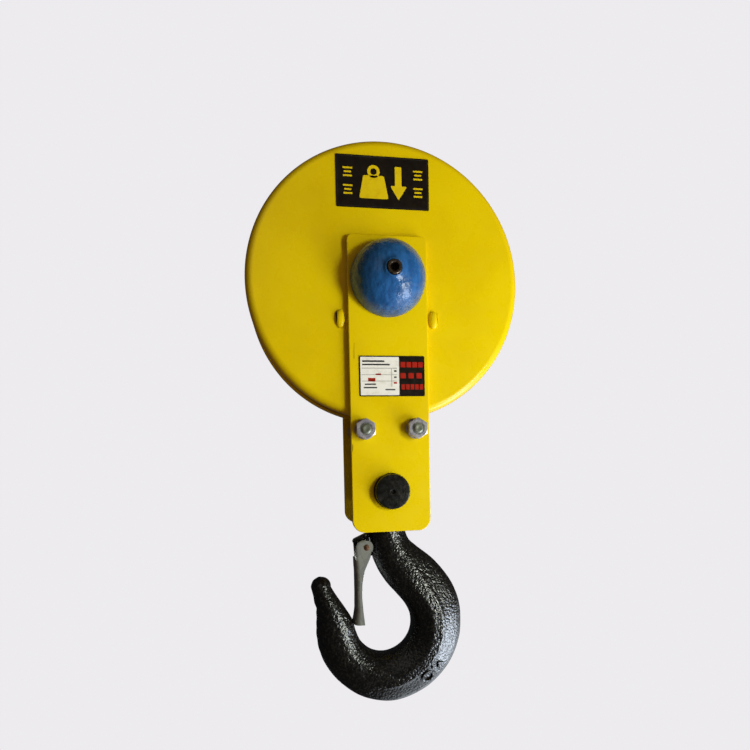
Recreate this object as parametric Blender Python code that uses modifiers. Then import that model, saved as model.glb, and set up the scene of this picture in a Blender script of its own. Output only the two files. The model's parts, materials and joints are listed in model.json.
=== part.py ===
"""Single-sheave hook block for a wire rope hoist of the 2 t class.

One grooved sheave turns on a fixed shaft between two dished covers and two side plates. Under the
covers, a crossbeam carries a forged hook on a thrust bearing, so that the hook turns and swings.

Frame: metres, +Z up, origin on the sheave's axis in the middle plane. The sheave's axis is Y, and
the front of the block faces -Y. Shapes are turned about, or drawn across, their own local axes:
the front pieces' local Z points at -Y, and the rear pieces are the same parts turned half round Z.
"""

import math

import bmesh
import bpy
from mathutils import Matrix, Vector

# Clearances
GAP = 0.0003  # between pieces that touch or are pressed together
RUNNING_GAP = 0.0012  # between a turning piece and its fixed neighbour

# Faces round a turned piece: large, middling and small ones
LARGE_STEPS = 42
MIDDLE_STEPS = 24
SMALL_STEPS = 16

# Rope and sheave
ROPE_RADIUS = 0.0055
SHEAVE_RADIUS = 0.1145
GROOVE_DEPTH = 0.0145
GROOVE_FLANK = math.radians(22.5)
SHEAVE_RIM_WIDTH = 0.029
SHEAVE_RIM_DEPTH = 0.0065
SHEAVE_WEB = 0.009
HUB_WALL = 0.009
HUB_OVERHANG = 0.0036
WEB_DRAFT = 0.002  # how much wider the hub and the rim are at the web's face
GROOVE_TO_ROPE = 1.06  # the groove's bottom radius over the rope's
BORE_SHOULDER = 0.0035

# Sheave bearings
BEARING_BORE_RADIUS = 0.020
BEARING_OUTER_RADIUS = 0.040
BEARING_WIDTH = 0.018
BEARING_SPACING = 0.006
RACE_THICKNESS = 0.0044
BALL_COUNT = 8
CIRCLIP_WIDTH = 0.0016
CIRCLIP_DEPTH = 0.002

# Covers
COVER_SHEET = 0.0025
COVER_CORNER = 0.0075
SHEAVE_TO_BAND = 0.0046
ROPE_SLOT_WIDTH = 0.028
BAND_SHEET = 0.0025
BAND_OVERLAP = 0.005
BAND_TO_COVER = 0.0009
BAND_START = math.radians(13)  # below the horizontal, on both sides
LUG_WIDTH = 0.0072
LUG_HEIGHT = 0.019
LUG_PROUD = 0.0045
LUG_SLOPE = 0.12  # how far each side of a lug leans in, as a share of its width and height
LUG_Z = -0.0345
LUG_TO_PLATE = 0.003

# Side plates
FRAME_INSIDE = 0.0654
PLATE_THICKNESS = 0.006
PLATE_WIDTH = 0.072
PLATE_TOP = 0.0384
PLATE_BELOW_BEAM = 0.037
PLATE_TOP_CORNER = 0.0055
PLATE_BOTTOM_CORNER = 0.011

# Shaft, its lock nuts, and the domes over them
SHAFT_END_RADIUS = 0.015
SHAFT_CHAMFER = 0.001
LOCK_NUT_RADIUS = 0.022
LOCK_NUT_WIDTH = 0.008
LOCK_NUT_SLOTS = 4
LOCK_NUT_SLOT_WIDTH = 0.005
LOCK_NUT_SLOT_DEPTH = 0.002
LOCK_WASHER_RADIUS = 0.0235
LOCK_WASHER = 0.002
SHAFT_PAST_NUT = 0.0035
DOME_MARGIN = 0.002
DOME_RISE = 0.032
DOME_SHEET = 0.003
GREASE_STUB_RADIUS = 0.0062
GREASE_STUB_BORE = 0.0036
GREASE_STUB_BORE_DEPTH = 0.008
GREASE_STUB_PROUD = 0.0026
GREASE_STUB_IN_SHAFT = 0.006

# Tie bolts
TIE_BOLT_RADIUS = 0.005
TIE_FROM_PLATE_EDGE = 0.0126
TIE_TO_COVER = 0.0016
TIE_SPACER_RADIUS = 0.0085
TIE_NUT_FLATS = 0.0165
TIE_NUT_HEIGHT = 0.008
TIE_WASHER_RADIUS = 0.0098
TIE_WASHER = 0.0018
TIE_BOLT_PAST_NUT = 0.0016
TIE_BOLT_CHAMFER = 0.001
TIE_HEAD_HEIGHT = 0.0064
TIE_HEAD_SEAT = 0.0008  # how far under the head the bolt's shank is drawn

# Crossbeam
BEAM_BELOW_TIE = 0.0562
JOURNAL_RADIUS = 0.0159
JOURNAL_PROUD = 0.0079
JOURNAL_CHAMFER = 0.0018
CENTRE_HOLE_RADIUS = 0.0035
CENTRE_HOLE_DEPTH = 0.0012
BEAM_LENGTH = 0.056
BEAM_HEIGHT = 0.034
BEAM_CORNER = 0.004

# Shank, thrust bearing and hook nut
SHANK_RADIUS = 0.01485
THRUST_RADIUS = 0.0235
THRUST_RACE = 0.0028
THRUST_BALL_RADIUS = 0.0022
THRUST_BALL_COUNT = 12
HOOK_NUT_RADIUS = 0.023
HOOK_NUT_HEIGHT = 0.016
SHANK_PAST_NUT = 0.002
SHANK_CHAMFER = 0.001
NUT_PIN_RADIUS = 0.0022
NUT_PIN_INSET = 0.001
NECK_BELOW_BEAM = 0.0027

# Hook and safety latch. Their outlines are drawn for a bowl of 28 mm radius, and grow with it.
HOOK_BOWL_RADIUS = 0.028
DRAWN_BOWL_RADIUS = 0.028
LUG_THICKNESS = 0.008
LATCH_WIDTH = 0.023
LATCH_SHEET = 0.0015
LATCH_PIN_RADIUS = 0.0033
LATCH_PIN_HEAD = 0.0044
LATCH_PIN_HEAD_HEIGHT = 0.0016
LATCH_PIN_HEAD_EDGE = 0.0006
SPRING_WIRE_RADIUS = 0.0006
SPRING_COIL_RADIUS = 0.00435
SPRING_TURNS = 3
SPRING_STEPS = 9  # points in one turn
SPRING_EXTRA_STEPS = 4  # past the last whole turn, to where the leg leaves for the neck

# Labels
LABEL_THICKNESS = 0.0003
LABEL_CORNER = 0.001
CAPACITY_LABEL_SIZE = (0.084, 0.0455)
CAPACITY_LABEL_X = -0.0018
CAPACITY_LABEL_BELOW_RIM = 0.0388
DATA_LABEL_MARGIN = 0.00625
DATA_LABEL_HEIGHT = 0.036
DATA_LABEL_X = 0.0024
DATA_LABEL_ABOVE_TIE = 0.0471

# Worked out from the dimensions above
PLATE_INNER_Y = FRAME_INSIDE / 2
PLATE_OUTER_Y = PLATE_INNER_Y + PLATE_THICKNESS
COVER_OUTER_Y = PLATE_INNER_Y - GAP
COVER_INNER_Y = COVER_OUTER_Y - COVER_SHEET
SKIRT_END_Y = ROPE_SLOT_WIDTH / 2
BAND_RADIUS = SHEAVE_RADIUS + SHEAVE_TO_BAND + BAND_SHEET
COVER_RADIUS = BAND_RADIUS + BAND_TO_COVER + COVER_SHEET
TIE_X = PLATE_WIDTH / 2 - TIE_FROM_PLATE_EDGE
TIE_Z = -math.sqrt((COVER_RADIUS + TIE_TO_COVER + TIE_SPACER_RADIUS) ** 2 - TIE_X**2)
BEAM_Z = TIE_Z - BEAM_BELOW_TIE
PLATE_BOTTOM = BEAM_Z - PLATE_BELOW_BEAM
BEARING_INNER_Y = BEARING_SPACING / 2
BEARING_OUTER_Y = BEARING_INNER_Y + BEARING_WIDTH
THRUST_Z = BEAM_Z + BEAM_HEIGHT / 2 + GAP
THRUST_BALL_Z = THRUST_Z + THRUST_RACE + GAP + THRUST_BALL_RADIUS
UPPER_RACE_Z = THRUST_BALL_Z + THRUST_BALL_RADIUS + GAP
HOOK_NUT_Z = UPPER_RACE_Z + THRUST_RACE + GAP
NECK_TOP_Z = BEAM_Z - BEAM_HEIGHT / 2 - NECK_BELOW_BEAM
HOOK_SCALE = HOOK_BOWL_RADIUS / DRAWN_BOWL_RADIUS

FRONT = (math.radians(90), 0.0, 0.0)
REAR = (math.radians(90), 0.0, math.radians(180))
SIDES = (("front", FRONT), ("rear", REAR))


def make_collection(name):
    collection = bpy.data.collections.new(name)
    bpy.context.scene.collection.children.link(collection)
    return collection


def make_material(name, colour, roughness, metallic):
    material = bpy.data.materials.new(name)
    material.use_nodes = True
    shader = material.node_tree.nodes["Principled BSDF"]
    shader.inputs["Base Color"].default_value = (*colour, 1.0)
    shader.inputs["Roughness"].default_value = roughness
    shader.inputs["Metallic"].default_value = metallic
    material.diffuse_color = (*colour, 1.0)
    return material


for startup_object in list(bpy.data.objects):
    bpy.data.objects.remove(startup_object, do_unlink=True)

PARTS = make_collection("crane_hook_block")
CUTTERS = make_collection("cutters")
CUTTERS.hide_render = True

YELLOW = make_material("yellow_enamel", (0.78, 0.62, 0.01), 0.25, 0.0)
BLUE = make_material("blue_enamel", (0.03, 0.13, 0.36), 0.3, 0.0)
BLACK = make_material("black_paint", (0.012, 0.012, 0.012), 0.35, 0.0)
ZINC = make_material("zinc_plate", (0.62, 0.6, 0.62), 0.35, 1.0)
STEEL = make_material("bearing_steel", (0.55, 0.55, 0.56), 0.25, 1.0)
IRON = make_material("cast_iron", (0.12, 0.12, 0.12), 0.6, 1.0)
RUSTY = make_material("bare_rivet", (0.25, 0.12, 0.07), 0.5, 1.0)
LABEL_BLACK = make_material("label_film", (0.02, 0.015, 0.012), 0.3, 0.0)
LABEL_WHITE = make_material("label_paper", (0.8, 0.8, 0.8), 0.4, 0.0)


def place(obj, material, location=(0, 0, 0), rotation=(0, 0, 0), collection=PARTS):
    """Links an object, places it and gives it its material."""
    collection.objects.link(obj)
    obj.location = location
    obj.rotation_euler = rotation
    obj.data.materials.append(material)
    if collection is CUTTERS:
        obj.hide_render = True
        obj.display_type = "WIRE"
    return obj


def turned(name, profile, steps, material, **placing):
    """A profile of (radius, height) points turned about local Z. It runs down its outer side.

    A profile that starts off the axis is closed, as a ring's is.
    """
    mesh = bpy.data.meshes.new(name)
    count = len(profile)
    edges = [(i, i + 1) for i in range(count - 1)]
    if profile[0][0] > 0:
        edges.append((count - 1, 0))
    mesh.from_pydata([(radius, 0, height) for radius, height in profile], edges, [])
    obj = place(bpy.data.objects.new(name, mesh), material, **placing)
    screw = obj.modifiers.new("turn", "SCREW")
    screw.steps = screw.render_steps = steps
    screw.use_merge_vertices = True
    screw.merge_threshold = 0.00001
    screw.use_smooth_shade = True
    return obj


def ring(name, inner, outer, low, high, steps, material, **placing):
    """A plain ring between two radii and two heights."""
    profile = [(inner, high), (outer, high), (outer, low), (inner, low)]
    return turned(name, profile, steps, material, **placing)


def arc(centre_x, centre_y, radius, start, end, steps):
    """Points on an arc, from one angle to another in degrees."""
    angles = [math.radians(start + (end - start) * i / steps) for i in range(steps + 1)]
    return [(centre_x + radius * math.cos(a), centre_y + radius * math.sin(a)) for a in angles]


def circle(centre_x, centre_y, radius, steps):
    return arc(centre_x, centre_y, radius, 0, 360, steps)[:-1]


def rounded_rectangle(left, right, bottom, top, bottom_radius, top_radius, steps=5):
    """The outline of a rectangle whose lower and upper corners are rounded."""
    return (
        arc(right - top_radius, top - top_radius, top_radius, 0, 90, steps)
        + arc(left + top_radius, top - top_radius, top_radius, 90, 180, steps)
        + arc(left + bottom_radius, bottom + bottom_radius, bottom_radius, 180, 270, steps)
        + arc(right - bottom_radius, bottom + bottom_radius, bottom_radius, 270, 360, steps)
    )


def flat(name, outlines, thickness, material, **placing):
    """Outlines filled in local XY and given a thickness along Z. Inner outlines are holes."""
    curve = bpy.data.curves.new(name, "CURVE")
    curve.dimensions = "2D"
    curve.fill_mode = "BOTH"
    curve.extrude = thickness / 2
    for outline in outlines:
        spline = curve.splines.new("POLY")
        spline.points.add(len(outline) - 1)
        spline.use_cyclic_u = True
        for point, (x, y) in zip(spline.points, outline):
            point.co = (x, y, 0, 1)
    return place(bpy.data.objects.new(name, curve), material, **placing)


def wire(name, points, radius, material, **placing):
    """A round wire with capped ends along points."""
    curve = bpy.data.curves.new(name, "CURVE")
    curve.dimensions = "3D"
    curve.bevel_depth = radius
    curve.bevel_resolution = 2
    curve.use_fill_caps = True
    spline = curve.splines.new("POLY")
    spline.points.add(len(points) - 1)
    for point, position in zip(spline.points, points):
        point.co = (*position, 1)
    return place(bpy.data.objects.new(name, curve), material, **placing)


def as_mesh(obj):
    """Replaces a curve object by its mesh, with its caps welded on."""
    graph = bpy.context.evaluated_depsgraph_get()
    mesh = bpy.data.meshes.new_from_object(obj.evaluated_get(graph))
    welded = bmesh.new()
    welded.from_mesh(mesh)
    bmesh.ops.remove_doubles(welded, verts=welded.verts, dist=0.000001)
    welded.to_mesh(mesh)
    welded.free()
    name = obj.name
    collection = obj.users_collection[0]
    bpy.context.view_layer.update()
    matrix = obj.matrix_world.copy()
    hidden = obj.hide_render
    bpy.data.objects.remove(obj, do_unlink=True)
    solid = bpy.data.objects.new(name, mesh)
    collection.objects.link(solid)
    solid.matrix_world = matrix
    solid.hide_render = hidden
    solid.display_type = "WIRE" if hidden else "TEXTURED"
    return solid


def from_bmesh(name, built, material, **placing):
    mesh = bpy.data.meshes.new(name)
    built.to_mesh(mesh)
    built.free()
    return place(bpy.data.objects.new(name, mesh), material, **placing)


def boolean(target, operation, tool):
    modifier = target.modifiers.new(operation.lower(), "BOOLEAN")
    modifier.operation = operation
    modifier.object = tool


def cutter_cylinder(name, radius, length, steps, **placing):
    """A cylinder about local Z that a Boolean uses."""
    built = bmesh.new()
    bmesh.ops.create_cone(
        built, cap_ends=True, segments=steps, radius1=radius, radius2=radius, depth=length
    )
    return from_bmesh(name, built, STEEL, collection=CUTTERS, **placing)


def hexagon(flats):
    """A hexagon's outline with two corners on the vertical."""
    return arc(0, 0, flats / math.sqrt(3), 90, 450, 6)[:-1]


# --- Sheave and its bearings ---


def sheave_profile():
    """Half of the sheave's section, mirrored in its middle plane."""
    bottom = SHEAVE_RADIUS - GROOVE_DEPTH
    groove_radius = ROPE_RADIUS * GROOVE_TO_ROPE
    flank_r = bottom + groove_radius * (1 - math.sin(GROOVE_FLANK))
    flank_y = groove_radius * math.cos(GROOVE_FLANK)
    mouth_y = flank_y + (SHEAVE_RADIUS - flank_r) * math.tan(GROOVE_FLANK)
    hub_end = BEARING_OUTER_Y + GAP + HUB_OVERHANG
    bore = BEARING_OUTER_RADIUS
    hub = bore + HUB_WALL
    rim_inner = bottom - SHEAVE_RIM_DEPTH
    circlip_y = BEARING_OUTER_Y + GAP
    half = [
        (bore, hub_end),
        (hub, hub_end),
        (hub + WEB_DRAFT, SHEAVE_WEB / 2),
        (rim_inner - WEB_DRAFT, SHEAVE_WEB / 2),
        (rim_inner, SHEAVE_RIM_WIDTH / 2),
        (SHEAVE_RADIUS, SHEAVE_RIM_WIDTH / 2),
        (SHEAVE_RADIUS, mouth_y),
        (flank_r, flank_y),
        (bottom + groove_radius * (1 - math.sqrt(0.5)), groove_radius * math.sqrt(0.5)),
    ]
    bore_half = [
        (bore - BORE_SHOULDER, BEARING_INNER_Y),
        (bore, BEARING_INNER_Y),
        (bore, circlip_y),
        (bore + CIRCLIP_DEPTH, circlip_y),
        (bore + CIRCLIP_DEPTH, circlip_y + CIRCLIP_WIDTH + 2 * GAP),
        (bore, circlip_y + CIRCLIP_WIDTH + 2 * GAP),
    ]
    outside = half + [(bottom, 0)] + [(r, -y) for r, y in reversed(half)]
    inside = [(r, -y) for r, y in reversed(bore_half)] + bore_half
    return outside + inside


def build_bearing(side, rotation):
    """One sheave bearing: races, and balls held in a cage ring."""
    low = BEARING_INNER_Y + GAP
    high = BEARING_OUTER_Y
    inner = BEARING_BORE_RADIUS + GAP
    outer = BEARING_OUTER_RADIUS - GAP
    inner_face = inner + RACE_THICKNESS
    outer_face = outer - RACE_THICKNESS
    ring(f"{side}_bearing_inner_race", inner, inner_face, low, high, MIDDLE_STEPS, STEEL,
         rotation=rotation)
    ring(f"{side}_bearing_outer_race", outer_face, outer, low, high, MIDDLE_STEPS, STEEL,
         rotation=rotation)
    pitch = (inner_face + outer_face) / 2
    ball = (outer_face - inner_face) / 2 - GAP
    middle = (low + high) / 2
    balls(f"{side}_bearing_balls", pitch, ball, BALL_COUNT, middle, rotation=rotation)
    circlip_low = BEARING_OUTER_Y + 2 * GAP
    outline = arc(0, 0, BEARING_OUTER_RADIUS + CIRCLIP_DEPTH - GAP, 100, 440, MIDDLE_STEPS)
    outline += arc(0, 0, BEARING_OUTER_RADIUS - CIRCLIP_DEPTH, 440, 100, MIDDLE_STEPS)
    height = circlip_low + CIRCLIP_WIDTH / 2
    sign = -1 if side == "front" else 1
    flat(
        f"{side}_hub_circlip",
        [outline],
        CIRCLIP_WIDTH,
        STEEL,
        location=(0, sign * height, 0),
        rotation=rotation,
    )


def balls(name, pitch, ball, count, height, rotation=(0, 0, 0)):
    """Balls in a ring of cage that runs through their middles."""
    cage_half = ball * 0.3
    cage = ring(
        name,
        pitch - cage_half,
        pitch + cage_half,
        height - cage_half,
        height + cage_half,
        2 * count,
        STEEL,
        rotation=rotation,
    )
    built = bmesh.new()
    for i in range(count):
        angle = 2 * math.pi * i / count
        centre = Vector((pitch * math.cos(angle), pitch * math.sin(angle), height))
        bmesh.ops.create_icosphere(
            built, subdivisions=1, radius=ball, matrix=Matrix.Translation(centre)
        )
    tool = from_bmesh(f"{name}_spheres", built, STEEL, rotation=rotation, collection=CUTTERS)
    boolean(cage, "UNION", tool)


def build_sheave():
    turned("sheave", sheave_profile(), LARGE_STEPS, IRON, rotation=FRONT)
    for side, rotation in SIDES:
        build_bearing(side, rotation)
    spacer = BEARING_INNER_Y - GAP
    inner = BEARING_BORE_RADIUS + GAP
    outer = inner + RACE_THICKNESS
    ring("inner_race_spacer", inner, outer, -spacer, spacer, MIDDLE_STEPS, STEEL, rotation=FRONT)


# --- Covers ---


def cover_profile():
    """A dished cover's section: flat face, rounded corner and skirt."""
    hole = SHAFT_END_RADIUS + GAP
    centre_r = COVER_RADIUS - COVER_CORNER
    centre_y = COVER_OUTER_Y - COVER_CORNER
    outer = arc(centre_r, centre_y, COVER_CORNER, 90, 0, 4)
    inner = arc(centre_r, centre_y, COVER_CORNER - COVER_SHEET, 0, 90, 3)
    skirt = [(COVER_RADIUS, SKIRT_END_Y), (COVER_RADIUS - COVER_SHEET, SKIRT_END_Y)]
    return [(hole, COVER_OUTER_Y)] + outer + skirt + inner + [(hole, COVER_INNER_Y)]


def build_cover(side, rotation):
    """A cover with a raised lug on each side of its side plate."""
    cover = turned(f"{side}_cover", cover_profile(), LARGE_STEPS, YELLOW, rotation=rotation)
    lug_x = PLATE_WIDTH / 2 + LUG_TO_PLATE + LUG_WIDTH / 2
    built = bmesh.new()
    for x in (-lug_x, lug_x):
        sunk = COVER_SHEET / 2
        height = LUG_PROUD + sunk
        centre = Vector((x, LUG_Z, COVER_OUTER_Y - sunk + height / 2))
        size = Matrix.Diagonal((LUG_WIDTH, LUG_HEIGHT, height, 1))
        made = bmesh.ops.create_cube(built, size=1, matrix=Matrix.Translation(centre) @ size)
        top = max(vert.co.z for vert in made["verts"])
        for vert in made["verts"]:
            if vert.co.z == top:
                vert.co.x += math.copysign(LUG_WIDTH * LUG_SLOPE, x - vert.co.x)
                vert.co.y += math.copysign(LUG_HEIGHT * LUG_SLOPE, LUG_Z - vert.co.y)
    tool = from_bmesh(f"{side}_cover_lugs", built, YELLOW, rotation=rotation, collection=CUTTERS)
    boolean(cover, "UNION", tool)


def build_guard_band():
    """The strip that closes the lower half between the two covers' skirts."""
    start = 180 + math.degrees(BAND_START)
    end = 360 - math.degrees(BAND_START)
    outline = arc(0, 0, BAND_RADIUS, start, end, LARGE_STEPS // 2)
    outline += arc(0, 0, BAND_RADIUS - BAND_SHEET, end, start, LARGE_STEPS // 2)
    width = ROPE_SLOT_WIDTH + 2 * BAND_OVERLAP
    flat("lower_guard_band", [outline], width, YELLOW, rotation=FRONT)


# --- Side plates, shaft and domes ---


def side_plate_outlines():
    half = PLATE_WIDTH / 2
    outlines = [
        rounded_rectangle(
            -half, half, PLATE_BOTTOM, PLATE_TOP, PLATE_BOTTOM_CORNER, PLATE_TOP_CORNER
        ),
        circle(0, 0, SHAFT_END_RADIUS + GAP, MIDDLE_STEPS),
        circle(0, BEAM_Z, JOURNAL_RADIUS + GAP, MIDDLE_STEPS),
    ]
    for x in (-TIE_X, TIE_X):
        outlines.append(circle(x, TIE_Z, TIE_BOLT_RADIUS + GAP, SMALL_STEPS))
    return outlines


def build_side_plates():
    middle = (PLATE_INNER_Y + PLATE_OUTER_Y) / 2
    for side, y in (("front", -middle), ("rear", middle)):
        flat(
            f"{side}_side_plate",
            side_plate_outlines(),
            PLATE_THICKNESS,
            YELLOW,
            location=(0, y, 0),
            rotation=FRONT,
        )


def shaft_end_y():
    washer_end = PLATE_OUTER_Y + GAP + LOCK_WASHER
    return washer_end + GAP + LOCK_NUT_WIDTH + SHAFT_PAST_NUT


def build_shaft():
    """The fixed shaft, its distance sleeves, and what clamps it into the side plates."""
    shoulder = COVER_INNER_Y - GAP
    end = shaft_end_y()
    bore = GREASE_STUB_RADIUS + GAP
    bore_end = end - GREASE_STUB_IN_SHAFT
    half = [
        (0, bore_end),
        (bore, bore_end),
        (bore, end),
        (SHAFT_END_RADIUS - SHAFT_CHAMFER, end),
        (SHAFT_END_RADIUS, end - SHAFT_CHAMFER),
        (SHAFT_END_RADIUS, shoulder),
        (BEARING_BORE_RADIUS, shoulder),
    ]
    profile = half + [(r, -y) for r, y in reversed(half)]
    turned("sheave_shaft", profile, MIDDLE_STEPS, STEEL, rotation=FRONT)
    for side, rotation in SIDES:
        build_shaft_end(side, rotation)


def build_shaft_end(side, rotation):
    """A sleeve from the bearing to the cover, then the washer, slotted nut, dome and stub."""
    inner = BEARING_BORE_RADIUS + GAP
    sleeve_low = BEARING_OUTER_Y + GAP
    sleeve_high = COVER_INNER_Y - GAP
    sleeve_outer = inner + RACE_THICKNESS
    ring(f"{side}_shaft_sleeve", inner, sleeve_outer, sleeve_low, sleeve_high,
         MIDDLE_STEPS, STEEL, rotation=rotation)
    hole = SHAFT_END_RADIUS + GAP
    washer_low = PLATE_OUTER_Y + GAP
    washer_high = washer_low + LOCK_WASHER
    ring(f"{side}_lock_washer", hole, LOCK_WASHER_RADIUS, washer_low, washer_high,
         MIDDLE_STEPS, ZINC, rotation=rotation)
    nut_low = washer_high + GAP
    nut_high = nut_low + LOCK_NUT_WIDTH
    nut = ring(f"{side}_lock_nut", hole, LOCK_NUT_RADIUS, nut_low, nut_high,
               MIDDLE_STEPS, STEEL, rotation=rotation)
    built = bmesh.new()
    for i in range(LOCK_NUT_SLOTS):
        turn = Matrix.Rotation(2 * math.pi * i / LOCK_NUT_SLOTS, 4, "Z")
        shift = Matrix.Translation((LOCK_NUT_RADIUS, 0, (nut_low + nut_high) / 2))
        size = Matrix.Diagonal(
            (2 * LOCK_NUT_SLOT_DEPTH, LOCK_NUT_SLOT_WIDTH, 2 * LOCK_NUT_WIDTH, 1)
        )
        bmesh.ops.create_cube(built, size=1, matrix=turn @ shift @ size)
    slots = from_bmesh(f"{side}_nut_slots", built, STEEL, rotation=rotation, collection=CUTTERS)
    boolean(nut, "DIFFERENCE", slots)
    build_dome(side, rotation)


def build_dome(side, rotation):
    """A hollow dome on the side plate, pierced at its tip by the greasing stub."""
    base = PLATE_OUTER_Y + GAP
    radius = PLATE_WIDTH / 2 - DOME_MARGIN
    hole = GREASE_STUB_RADIUS + GAP
    inner = radius - DOME_SHEET
    inner_rise = DOME_RISE - DOME_SHEET
    steps = 6
    outer_end = math.acos(hole / radius)
    inner_end = math.acos(hole / inner)
    profile = []
    for i in range(steps + 1):
        angle = outer_end * (1 - i / steps)
        profile.append((radius * math.cos(angle), base + DOME_RISE * math.sin(angle)))
    for i in range(steps + 1):
        angle = inner_end * i / steps
        profile.append((inner * math.cos(angle), base + inner_rise * math.sin(angle)))
    turned(f"{side}_dome_cap", profile, MIDDLE_STEPS, BLUE, rotation=rotation)
    low = shaft_end_y() - GREASE_STUB_IN_SHAFT + GAP
    high = base + DOME_RISE + GREASE_STUB_PROUD
    floor = high - GREASE_STUB_BORE_DEPTH
    stub = [
        (0, floor),
        (GREASE_STUB_BORE, floor),
        (GREASE_STUB_BORE, high),
        (GREASE_STUB_RADIUS, high),
        (GREASE_STUB_RADIUS, low),
        (0, low),
    ]
    turned(f"{side}_grease_stub", stub, SMALL_STEPS, RUSTY, rotation=rotation)


# --- Tie bolts ---


def build_tie_bolt(side, x):
    """A bolt with its head at the rear, through both plates and a spacer, and its front nut."""
    hole = TIE_BOLT_RADIUS + GAP
    washer_low = PLATE_OUTER_Y + GAP
    washer_high = washer_low + TIE_WASHER
    nut_low = washer_high + GAP
    nut_high = nut_low + TIE_NUT_HEIGHT
    at = (x, 0, TIE_Z)
    head = hexagon(TIE_NUT_FLATS)
    for name, rotation in ((f"{side}_tie_washer", FRONT), (f"{side}_tie_head_washer", REAR)):
        ring(name, hole, TIE_WASHER_RADIUS, washer_low, washer_high, SMALL_STEPS,
             ZINC, location=at, rotation=rotation)
    flat(f"{side}_tie_nut", [head, circle(0, 0, hole, SMALL_STEPS)], TIE_NUT_HEIGHT, ZINC,
         location=(x, -(nut_low + nut_high) / 2, TIE_Z), rotation=FRONT)
    spacer_end = PLATE_INNER_Y - GAP
    ring(f"{side}_tie_spacer", hole, TIE_SPACER_RADIUS, -spacer_end, spacer_end, SMALL_STEPS, ZINC,
         location=at, rotation=FRONT)
    front_end = nut_high + TIE_BOLT_PAST_NUT
    shank_end = -(nut_low + TIE_HEAD_HEIGHT / 2 + TIE_HEAD_SEAT)
    shank = [
        (0, front_end),
        (TIE_BOLT_RADIUS - TIE_BOLT_CHAMFER, front_end),
        (TIE_BOLT_RADIUS, front_end - TIE_BOLT_CHAMFER),
        (TIE_BOLT_RADIUS, shank_end),
        (0, shank_end),
    ]
    bolt = turned(f"{side}_tie_bolt", shank, SMALL_STEPS, ZINC, location=at, rotation=FRONT)
    head_y = nut_low + TIE_HEAD_HEIGHT / 2
    tool = as_mesh(flat(f"{side}_tie_head", [head], TIE_HEAD_HEIGHT, ZINC,
                        location=(x, head_y, TIE_Z), rotation=FRONT, collection=CUTTERS))
    boolean(bolt, "UNION", tool)


# --- Crossbeam, thrust bearing and hook nut ---


def build_crossbeam():
    """A block between the plates with a journal at each end and the shank's bore through it."""
    end = PLATE_OUTER_Y + JOURNAL_PROUD
    journal = [
        (0, end - CENTRE_HOLE_DEPTH),
        (CENTRE_HOLE_RADIUS, end),
        (JOURNAL_RADIUS - JOURNAL_CHAMFER, end),
        (JOURNAL_RADIUS, end - JOURNAL_CHAMFER),
    ]
    journal += [(r, -y) for r, y in reversed(journal)]
    beam = turned("crossbeam", journal, MIDDLE_STEPS, BLACK, location=(0, 0, BEAM_Z), rotation=FRONT)
    half = BEAM_LENGTH / 2
    outline = rounded_rectangle(
        -half, half, -BEAM_HEIGHT / 2, BEAM_HEIGHT / 2, BEAM_CORNER, BEAM_CORNER, steps=2
    )
    block = as_mesh(flat("beam_block", [outline], 2 * (PLATE_INNER_Y - GAP), BLACK,
                         location=(0, 0, BEAM_Z), rotation=FRONT, collection=CUTTERS))
    boolean(beam, "UNION", block)
    bore = cutter_cylinder("beam_bore", SHANK_RADIUS + RUNNING_GAP / 2, 2 * BEAM_HEIGHT, MIDDLE_STEPS,
                           location=(0, 0, BEAM_Z))
    boolean(beam, "DIFFERENCE", bore)


def build_thrust_bearing():
    """The races above the crossbeam, with the caged balls between them."""
    bore = SHANK_RADIUS + RUNNING_GAP / 2
    ring("thrust_lower_race", bore, THRUST_RADIUS, THRUST_Z, THRUST_Z + THRUST_RACE,
         MIDDLE_STEPS, STEEL)
    ring("thrust_upper_race", SHANK_RADIUS + GAP, THRUST_RADIUS, UPPER_RACE_Z,
         UPPER_RACE_Z + THRUST_RACE, MIDDLE_STEPS, STEEL)
    pitch = (bore + THRUST_RADIUS) / 2
    balls("thrust_balls", pitch, THRUST_BALL_RADIUS, THRUST_BALL_COUNT, THRUST_BALL_Z)


def nut_pin_z():
    return HOOK_NUT_Z + HOOK_NUT_HEIGHT / 2


def build_hook_nut():
    """The round nut on the shank, cross-pinned so that it can't unscrew."""
    nut = ring("hook_nut", SHANK_RADIUS + GAP, HOOK_NUT_RADIUS, HOOK_NUT_Z,
               HOOK_NUT_Z + HOOK_NUT_HEIGHT, MIDDLE_STEPS, STEEL)
    hole = cutter_cylinder("nut_pin_hole", NUT_PIN_RADIUS + GAP, 4 * HOOK_NUT_RADIUS, SMALL_STEPS,
                           location=(0, 0, nut_pin_z()), rotation=FRONT)
    boolean(nut, "DIFFERENCE", hole)
    length = HOOK_NUT_RADIUS - NUT_PIN_INSET
    pin = [(0, length), (NUT_PIN_RADIUS, length), (NUT_PIN_RADIUS, -length), (0, -length)]
    turned("hook_nut_pin", pin, SMALL_STEPS, STEEL, location=(0, 0, nut_pin_z()), rotation=FRONT)
    return hole


# --- Hook ---

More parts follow.
